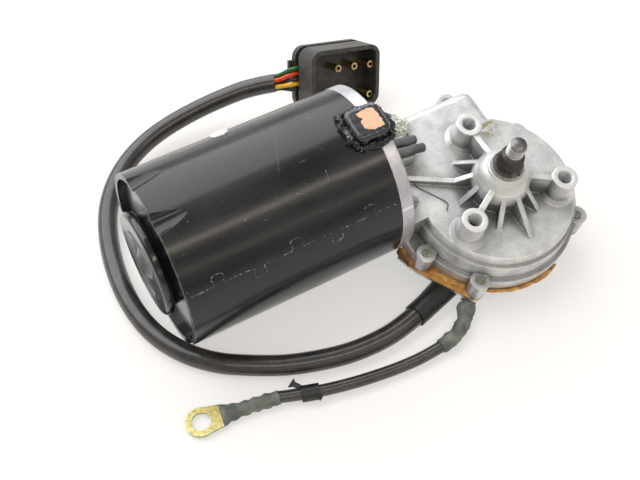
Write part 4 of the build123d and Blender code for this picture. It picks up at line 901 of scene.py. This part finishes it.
# %% Plated, ground and plain steels
STEELS = {  # name: (pale tone, dark tone, roughness, grain in mm, nodes)
    # Bright zinc, pale and evenly spangled.
    "zinc_plated_steel": ("c9ccce", "9a9da0", 0.3, 1.6, ["gearbox_cover", "magnet_clips"]),
    # Tin is whiter and smoother than zinc.
    "tinned_earth_tab": ("e0e2e2", "a9acad", 0.22, 1.1, ["ground_tab"]),
    # Chromated zinc, a thin yellow film over bright metal.
    "yellow_zinc_steel": ("b0a76c", "8d8350", 0.3, 1.4, ["ring_terminal"]),
    # Zinc that weather has dulled to greenish grey.
    "dull_zinc_screw": ("a3a48c", "5d5e52", 0.4, 0.9, ["cover_screws"]),
    # Ground and hardened, the brightest steel here.
    "ground_steel": ("c4c5c6", "96989a", 0.2, 0.8,
                     ["armature_shaft", "bearing_inner_race", "bearing_outer_race",
                      "bearing_balls", "thrust_washer"]),
    # Tempered wire and strip, darker and satin.
    "spring_steel": ("9a9894", "6d6b68", 0.32, 0.9,
                     ["shaft_circlip", "brush_springs", "bush_retainer"]),
    # Plain pressed sheet, lightly oiled.
    "park_disc_steel": ("bcbcba", "8b8b89", 0.34, 1.2, ["park_disc", "park_contacts"]),
    # Stacked stampings show as a dull dark grey.
    "laminated_core_iron": ("7d7f82", "4d4f52", 0.45, 0.5, ["armature_core"]),
}
for name, (pale, dark, rough, grain_mm, names) in STEELS.items():
    steel, tree, shader = new_material(name, pale, rough, 0.9)
    spangle = speckle(tree, grain_mm, 4)
    tone = add(tree, "ShaderNodeValToRGB", {"Fac": spangle},
               [(0.34, dark), (0.62, pale)]).outputs["Color"]
    rim = edges_worn(tree, 0.3)
    tone = add(tree, "ShaderNodeMix", {0: rim, 6: tone, 7: "eceeee"}, data_type="RGBA").outputs[2]
    tree.links.new(tone, shader.inputs["Base Color"])
    rounded = add(tree, "ShaderNodeBevel", {"Radius": 0.25 * MM}, samples=4).outputs["Normal"]
    marks = add(tree, "ShaderNodeBump", {"Height": spangle, "Distance": 0.04 * MM,
                                         "Strength": 0.5, "Normal": rounded})
    tree.links.new(marks.outputs["Normal"], shader.inputs["Normal"])
    dress(steel, *names)
print("steels:", len(STEELS))

# %% [markdown]
# ## Rubber and plastics
#
# The cable's sheath is soft black PVC with a satin face that picks up a brownish shine. The
# connector and the clip are moulded nylon, the boot is moulded rubber, and the
# shrink tube is polyolefin with a dull, slightly greenish bloom. Each has a base tone that
# drifts a little and a fine relief at its own scale.

# %% Black soft parts
SOFTS = {  # name: (light tone, dark tone, roughness, relief mm, relief depth mm, coat, nodes)
    # Extruded PVC, smooth and satin.
    "pvc_sheath": ("3d3a38", "2b2927", 0.3, 1.8, 0.006, 0.35, ["cable_sheath", "earth_lead"]),
    # Rubber from a polished mould, black with a faint shine.
    "moulded_rubber_boot": ("1e1f1f", "121313", 0.42, 1.2, 0.03, 0.05, ["cable_boot"]),
    # Glass fibres near the surface turn black nylon charcoal grey and satin.
    "glass_filled_nylon": ("454340", "302e2c", 0.42, 0.8, 0.04, 0.0,
                           ["connector_shroud", "connector_tail"]),
    # Unfilled nylon stays blacker.
    "black_nylon_tie": ("1f1f1f", "141414", 0.4, 0.9, 0.03, 0.0, ["lead_clip"]),
    # Stretched and shrunk, it is dull and wrinkled, with a greenish bloom.
    "shrunk_polyolefin": ("757b72", "4c524c", 0.5, 1.6, 0.08, 0.0, ["tab_shrink", "lug_shrink"]),
    # Aged rubber tube, faded to grey.
    "grey_tube_rubber": ("6a6d6d", "484c4d", 0.45, 1.2, 0.04, 0.0, ["breather_tubes"]),
    # Nitrile and phenolic, dark and nearly matte.
    "nitrile_seal": ("232323", "161616", 0.5, 0.8, 0.03, 0.0, ["shaft_seal", "contact_carrier"]),
}
for name, (light, dark, rough, size, depth, coat, names) in SOFTS.items():
    soft, tree, shader = new_material(name, light, rough, 0.0, Coat_Weight=coat)
    drift = speckle(tree, size * 5, 3)
    tone = add(tree, "ShaderNodeValToRGB", {"Fac": drift},
               [(0.35, dark), (0.65, light)]).outputs["Color"]
    tree.links.new(tone, shader.inputs["Base Color"])
    fine = speckle(tree, size, 4)
    gloss = add(tree, "ShaderNodeValToRGB", {"Fac": fine},
                [(0.3, rough - 0.06), (0.7, rough + 0.08)]).outputs["Color"]
    tree.links.new(gloss, shader.inputs["Roughness"])
    face = add(tree, "ShaderNodeBump", {"Height": fine, "Distance": depth * MM, "Strength": 0.7})
    tree.links.new(face.outputs["Normal"], shader.inputs["Normal"])
    dress(soft, *names)
# The connector's moulded edges are rounded, so light runs along them.
nylon = bpy.data.materials["glass_filled_nylon"].node_tree
rounded = add(nylon, "ShaderNodeBevel", {"Radius": 0.5 * MM}, samples=5).outputs["Normal"]
face = next(node for node in nylon.nodes if node.type == "BUMP")
nylon.links.new(rounded, face.inputs["Normal"])
print("soft parts:", len(SOFTS))

# %% [markdown]
# ## Sealants and label
#
# Cured sealant keeps a wet look: the black bead is folded, with painted glints of light on
# the ridges, and a film of it with the same painted glints covers the cap. The amber sealant
# is duller and mottled, and darkened with painted shade at the motor's end, under the
# flange. The clear lump is greenish grey with bright grains. The label is thin coated paper
# with nothing on it, faded to peach.

# %% Black sealant
# Silicone with a skin: black and shiny, with painted glints in pale grey on the ridges of its
# folds.
wet, tree, shader = new_material("black_wet_sealant", "0c0c0d", 0.2, 0.0, Coat_Weight=0.3,
                                 Coat_Roughness=0.03, Specular_IOR_Level=0.3)
fold = speckle(tree, 1.3, 4)
tone = add(tree, "ShaderNodeValToRGB", {"Fac": fold},
           [(0.4, "070708"), (0.55, "0d0e0f"), (0.64, "2c3538"), (0.72, "b9c6c9")]).outputs["Color"]
tree.links.new(tone, shader.inputs["Base Color"])
creases = add(tree, "ShaderNodeBump", {"Height": fold, "Distance": 0.35 * MM, "Strength": 0.9})
tree.links.new(creases.outputs["Normal"], shader.inputs["Normal"])
dress(wet, "cap_bead", "cap_sealant")

# Moulded nylon under a brushed-on film of the same sealant, with painted glints in pale grey on its
# ridges.
smeared, tree, shader = new_material("nylon_cap_sealant_with_painted_glints", "191a1b", 0.3, 0.0,
                                     Coat_Weight=0.7, Coat_Roughness=0.1)
film = speckle(tree, 2.4, 5)
tone = add(tree, "ShaderNodeValToRGB", {"Fac": film},
           [(0.4, "0c0d0e"), (0.58, "181a1c"), (0.66, "4a5358"), (0.72, "8fa0a6")]).outputs["Color"]
tree.links.new(tone, shader.inputs["Base Color"])
pulled = add(tree, "ShaderNodeBump", {"Height": film, "Distance": 0.35 * MM, "Strength": 0.6})
tree.links.new(pulled.outputs["Normal"], shader.inputs["Normal"])
dress(smeared, "terminal_cap")
print("black sealant dressed")

# %% Amber and clear sealant, and the paper label
# Cured gasket resin lets a little light in, so its thin edges glow orange.
resin, tree, shader = new_material("amber_cured_sealant", "a5692f", 0.5, 0.0,
                                   Subsurface_Weight=0.15, Subsurface_Scale=0.0008)
patch = speckle(tree, 3.2, 5)
tone = add(tree, "ShaderNodeValToRGB", {"Fac": patch},
           [(0.3, "8a5c2a"), (0.45, "b7803c"), (0.6, "cc9a50"), (0.75, "d6b274")]).outputs["Color"]
# Painted shade: near the barrel the sealant is darkened to brown for the shade under the flange
# ring.
shade_under_flange = near(tree, motor_spot(tree), *PLACES["gasket at the barrel"])
tone = add(tree, "ShaderNodeMix", {0: shade_under_flange, 6: tone, 7: "6b4a2c"}, data_type="RGBA").outputs[2]
tree.links.new(tone, shader.inputs["Base Color"])
crust = add(tree, "ShaderNodeBump", {"Height": speckle(tree, 0.9, 4), "Distance": 0.16 * MM,
                                     "Strength": 0.7})
tree.links.new(crust.outputs["Normal"], shader.inputs["Normal"])
dress(resin, "amber_sealant", "cover_gasket")

# Clear sealant full of fine bubbles scatters light and looks like wet salt.
grains, tree, shader = new_material("clear_grainy_sealant", "a9aea6", 0.25, 0.0,
                                    Subsurface_Weight=0.2, Subsurface_Scale=0.001)
tone = add(tree, "ShaderNodeValToRGB", {"Fac": speckle(tree, 1.8, 3)},
           [(0.32, "9da39a"), (0.5, "c6cabf"), (0.68, "eceee6")]).outputs["Color"]
tree.links.new(tone, shader.inputs["Base Color"])
dress(grains, "clear_sealant")

# Thin coated paper, matte, with greenish patches where the sun has faded it.
paper, tree, shader = new_material("faded_label_paper", "d9ac8c", 0.5, 0.0)
tone = add(tree, "ShaderNodeValToRGB", {"Fac": speckle(tree, 2.8, 4)},
           [(0.3, "c9c393"), (0.42, "ddb08f"), (0.62, "e3b99c"), (0.78, "cf9c80")]).outputs["Color"]
tree.links.new(tone, shader.inputs["Base Color"])
dress(paper, "torn_label")
print("sealants and label dressed")

# %% [markdown]
# ## Wires, pins and the inside
#
# The five wires have thin PVC insulation in plain colours. The connector's pins are turned
# brass. Inside the motor are copper windings, carbon brushes, grey ferrite magnets, sintered
# bronze bushes and a cream nylon worm wheel. Each needs only a base tone that drifts and a
# faint relief. Pores, fibres and powder grains are really finer than a pixel, so they are
# drawn half a millimetre wide or more.

# %% Wires and inner parts
PLAINS = {  # name: (light tone, dark tone, roughness, metallic, grain mm, nodes)
    # Extruded PVC insulation, smooth, with the colour all through.
    "red_insulation": ("e2441c", "c2340f", 0.35, 0.0, 2.0, ["red_wire"]),
    "green_insulation": ("226b30", "185524", 0.35, 0.0, 2.0, ["green_wire"]),
    "yellow_insulation": ("efc31a", "dba90c", 0.35, 0.0, 2.0, ["yellow_wire"]),
    "black_insulation": ("1c1c1c", "121212", 0.35, 0.0, 2.0, ["black_wire"]),
    "brown_insulation": ("4a2d1c", "382114", 0.35, 0.0, 2.0, ["brown_wire"]),
    # Freshly turned brass, pale yellow and bright.
    "turned_brass": ("d9bf8a", "a98f5c", 0.22, 1.0, 0.7, ["connector_pins", "brush_boxes"]),
    # Pressed bronze powder soaked in oil, brown and porous.
    "sintered_bronze": ("a9834e", "7d5f37", 0.45, 0.8, 0.5,
                        ["rear_bush", "worm_end_bush", "output_bush"]),
    # Copper wire under clear reddish enamel.
    "enamelled_copper": ("b8703a", "8a4a22", 0.3, 0.7, 0.9, ["armature_windings", "choke_coils"]),
    # Bare copper, polished by the brushes.
    "commutator_copper": ("c98a5c", "9c6540", 0.28, 0.95, 0.8, ["commutator"]),
    # Spun fibre, matte black.
    "stray_black_thread": ("1f1d1c", "141312", 0.6, 0.0, 0.6, ["stray_thread"]),
    # Pressed carbon, matte with a faint sheen.
    "pressed_carbon": ("2a2828", "191818", 0.55, 0.0, 0.6,
                       ["low_speed_brush", "high_speed_brush", "common_brush"]),
    # Fired ferrite, charcoal grey like slate.
    "sintered_ferrite": ("45464a", "303135", 0.55, 0.0, 1.0, ["upper_magnet", "lower_magnet"]),
    # Natural nylon, cream and waxy.
    "cream_nylon": ("ddd8c4", "cbc4aa", 0.42, 0.0, 3.0, ["worm_wheel"]),
    # Resin-bonded paper, brown and flat.
    "phenolic_card": ("5c3d22", "452c17", 0.5, 0.0, 1.2, ["brush_card"]),
}
for name, (light, dark, rough, metal, size, names) in PLAINS.items():
    plain, tree, shader = new_material(name, light, rough, metal)
    drift = speckle(tree, size, 4)
    tone = add(tree, "ShaderNodeValToRGB", {"Fac": drift},
               [(0.35, dark), (0.65, light)]).outputs["Color"]
    tree.links.new(tone, shader.inputs["Base Color"])
    face = add(tree, "ShaderNodeBump", {"Height": drift, "Distance": 0.03 * MM, "Strength": 0.5})
    tree.links.new(face.outputs["Normal"], shader.inputs["Normal"])
    dress(plain, *names)
left = [name for name in nodes if not bpy.data.objects[name].data.materials]
print("plain finishes:", len(PLAINS), "nodes left:", left)

# %% [markdown]
# ## Bench and light
#
# The white ground is a pale floor. Half of what the camera and the reflections see of it is
# a white glow, so it reads as white and the object's soft shadow is left on it. The light
# is one large soft panel up behind the motor, so gloss paint shows a broad bright band. Two
# narrow warm strips in front of it add the thin streaks below that band, and a dim white
# room fills the shadows.

# %% Floor, lamps and world
FLOOR_SIZE = 6
GLOW_SHARE = 0.5
bpy.ops.mesh.primitive_plane_add(size=FLOOR_SIZE, location=(0, 0, 0))
floor = bpy.context.active_object
floor.name = "floor"
# Paper, warm white and matte.
sweep, tree, shader = new_material("white_paper_sweep", "f3f0ec", 0.9)
rays = add(tree, "ShaderNodeLightPath").outputs
seen = add(tree, "ShaderNodeMath", {0: rays["Is Camera Ray"], 1: rays["Is Glossy Ray"]},
           operation="MAXIMUM").outputs["Value"]
seen = add(tree, "ShaderNodeMath", {0: seen, 1: rays["Is Transmission Ray"]},
           operation="MAXIMUM").outputs["Value"]
share = add(tree, "ShaderNodeMath", {0: seen, 1: GLOW_SHARE},
            operation="MULTIPLY").outputs["Value"]
glow = add(tree, "ShaderNodeEmission", {"Color": "fffefc", "Strength": 1.0})
both = add(tree, "ShaderNodeMixShader", {0: share, 1: shader.outputs["BSDF"],
                                         2: glow.outputs["Emission"]})
tree.links.new(both.outputs["Shader"], tree.nodes["Material Output"].inputs["Surface"])
dress(sweep, "floor")


def panel(name, place, size, radiance, tone):
    """A flat lamp, given the brightness of its face rather than its power."""
    data = bpy.data.lights.new(name, "AREA")
    data.shape = "RECTANGLE"
    data.size, data.size_y = size
    data.energy = radiance * math.pi * size[0] * size[1]
    data.color = linear(tone)[:3]
    lamp = bpy.data.objects.new(name, data)
    lamp.location = place
    lamp.rotation_euler = (Vector(place) - LAMP_AIM).to_track_quat("Z", "Y").to_euler()
    bpy.context.scene.collection.objects.link(lamp)


def above(height_angle, distance, x=0.0):
    """A place over the motor's axis, by its angle from +Y up and over towards -Y."""
    turn = math.radians(height_angle)
    return (x, distance * math.cos(turn), distance * math.sin(turn))


LAMP_AIM = Vector((0, 0, 0.03))
WORLD_LEVEL = 0.46
panel("back_panel", above(50.5, 1.5, -0.25), (2.4, 1.77), 2.8, "fcfcff")
panel("high_strip", above(121, 1.2), (1.6, 0.13), 6.0, "fff0dc")
panel("low_strip", above(151, 1.2), (1.6, 0.2), 1.2, "fff0dc")
world = bpy.data.worlds.new("studio")
bpy.context.scene.world = world
world.use_nodes = True
room = world.node_tree
room.nodes["Background"].inputs["Color"].default_value = linear("ffffff")
room.nodes["Background"].inputs["Strength"].default_value = WORLD_LEVEL
bpy.context.scene.view_settings.view_transform = "Standard"

# %% [markdown]
#
# The curves' boxes are only true once the scene is up to date.

bpy.context.view_layer.update()
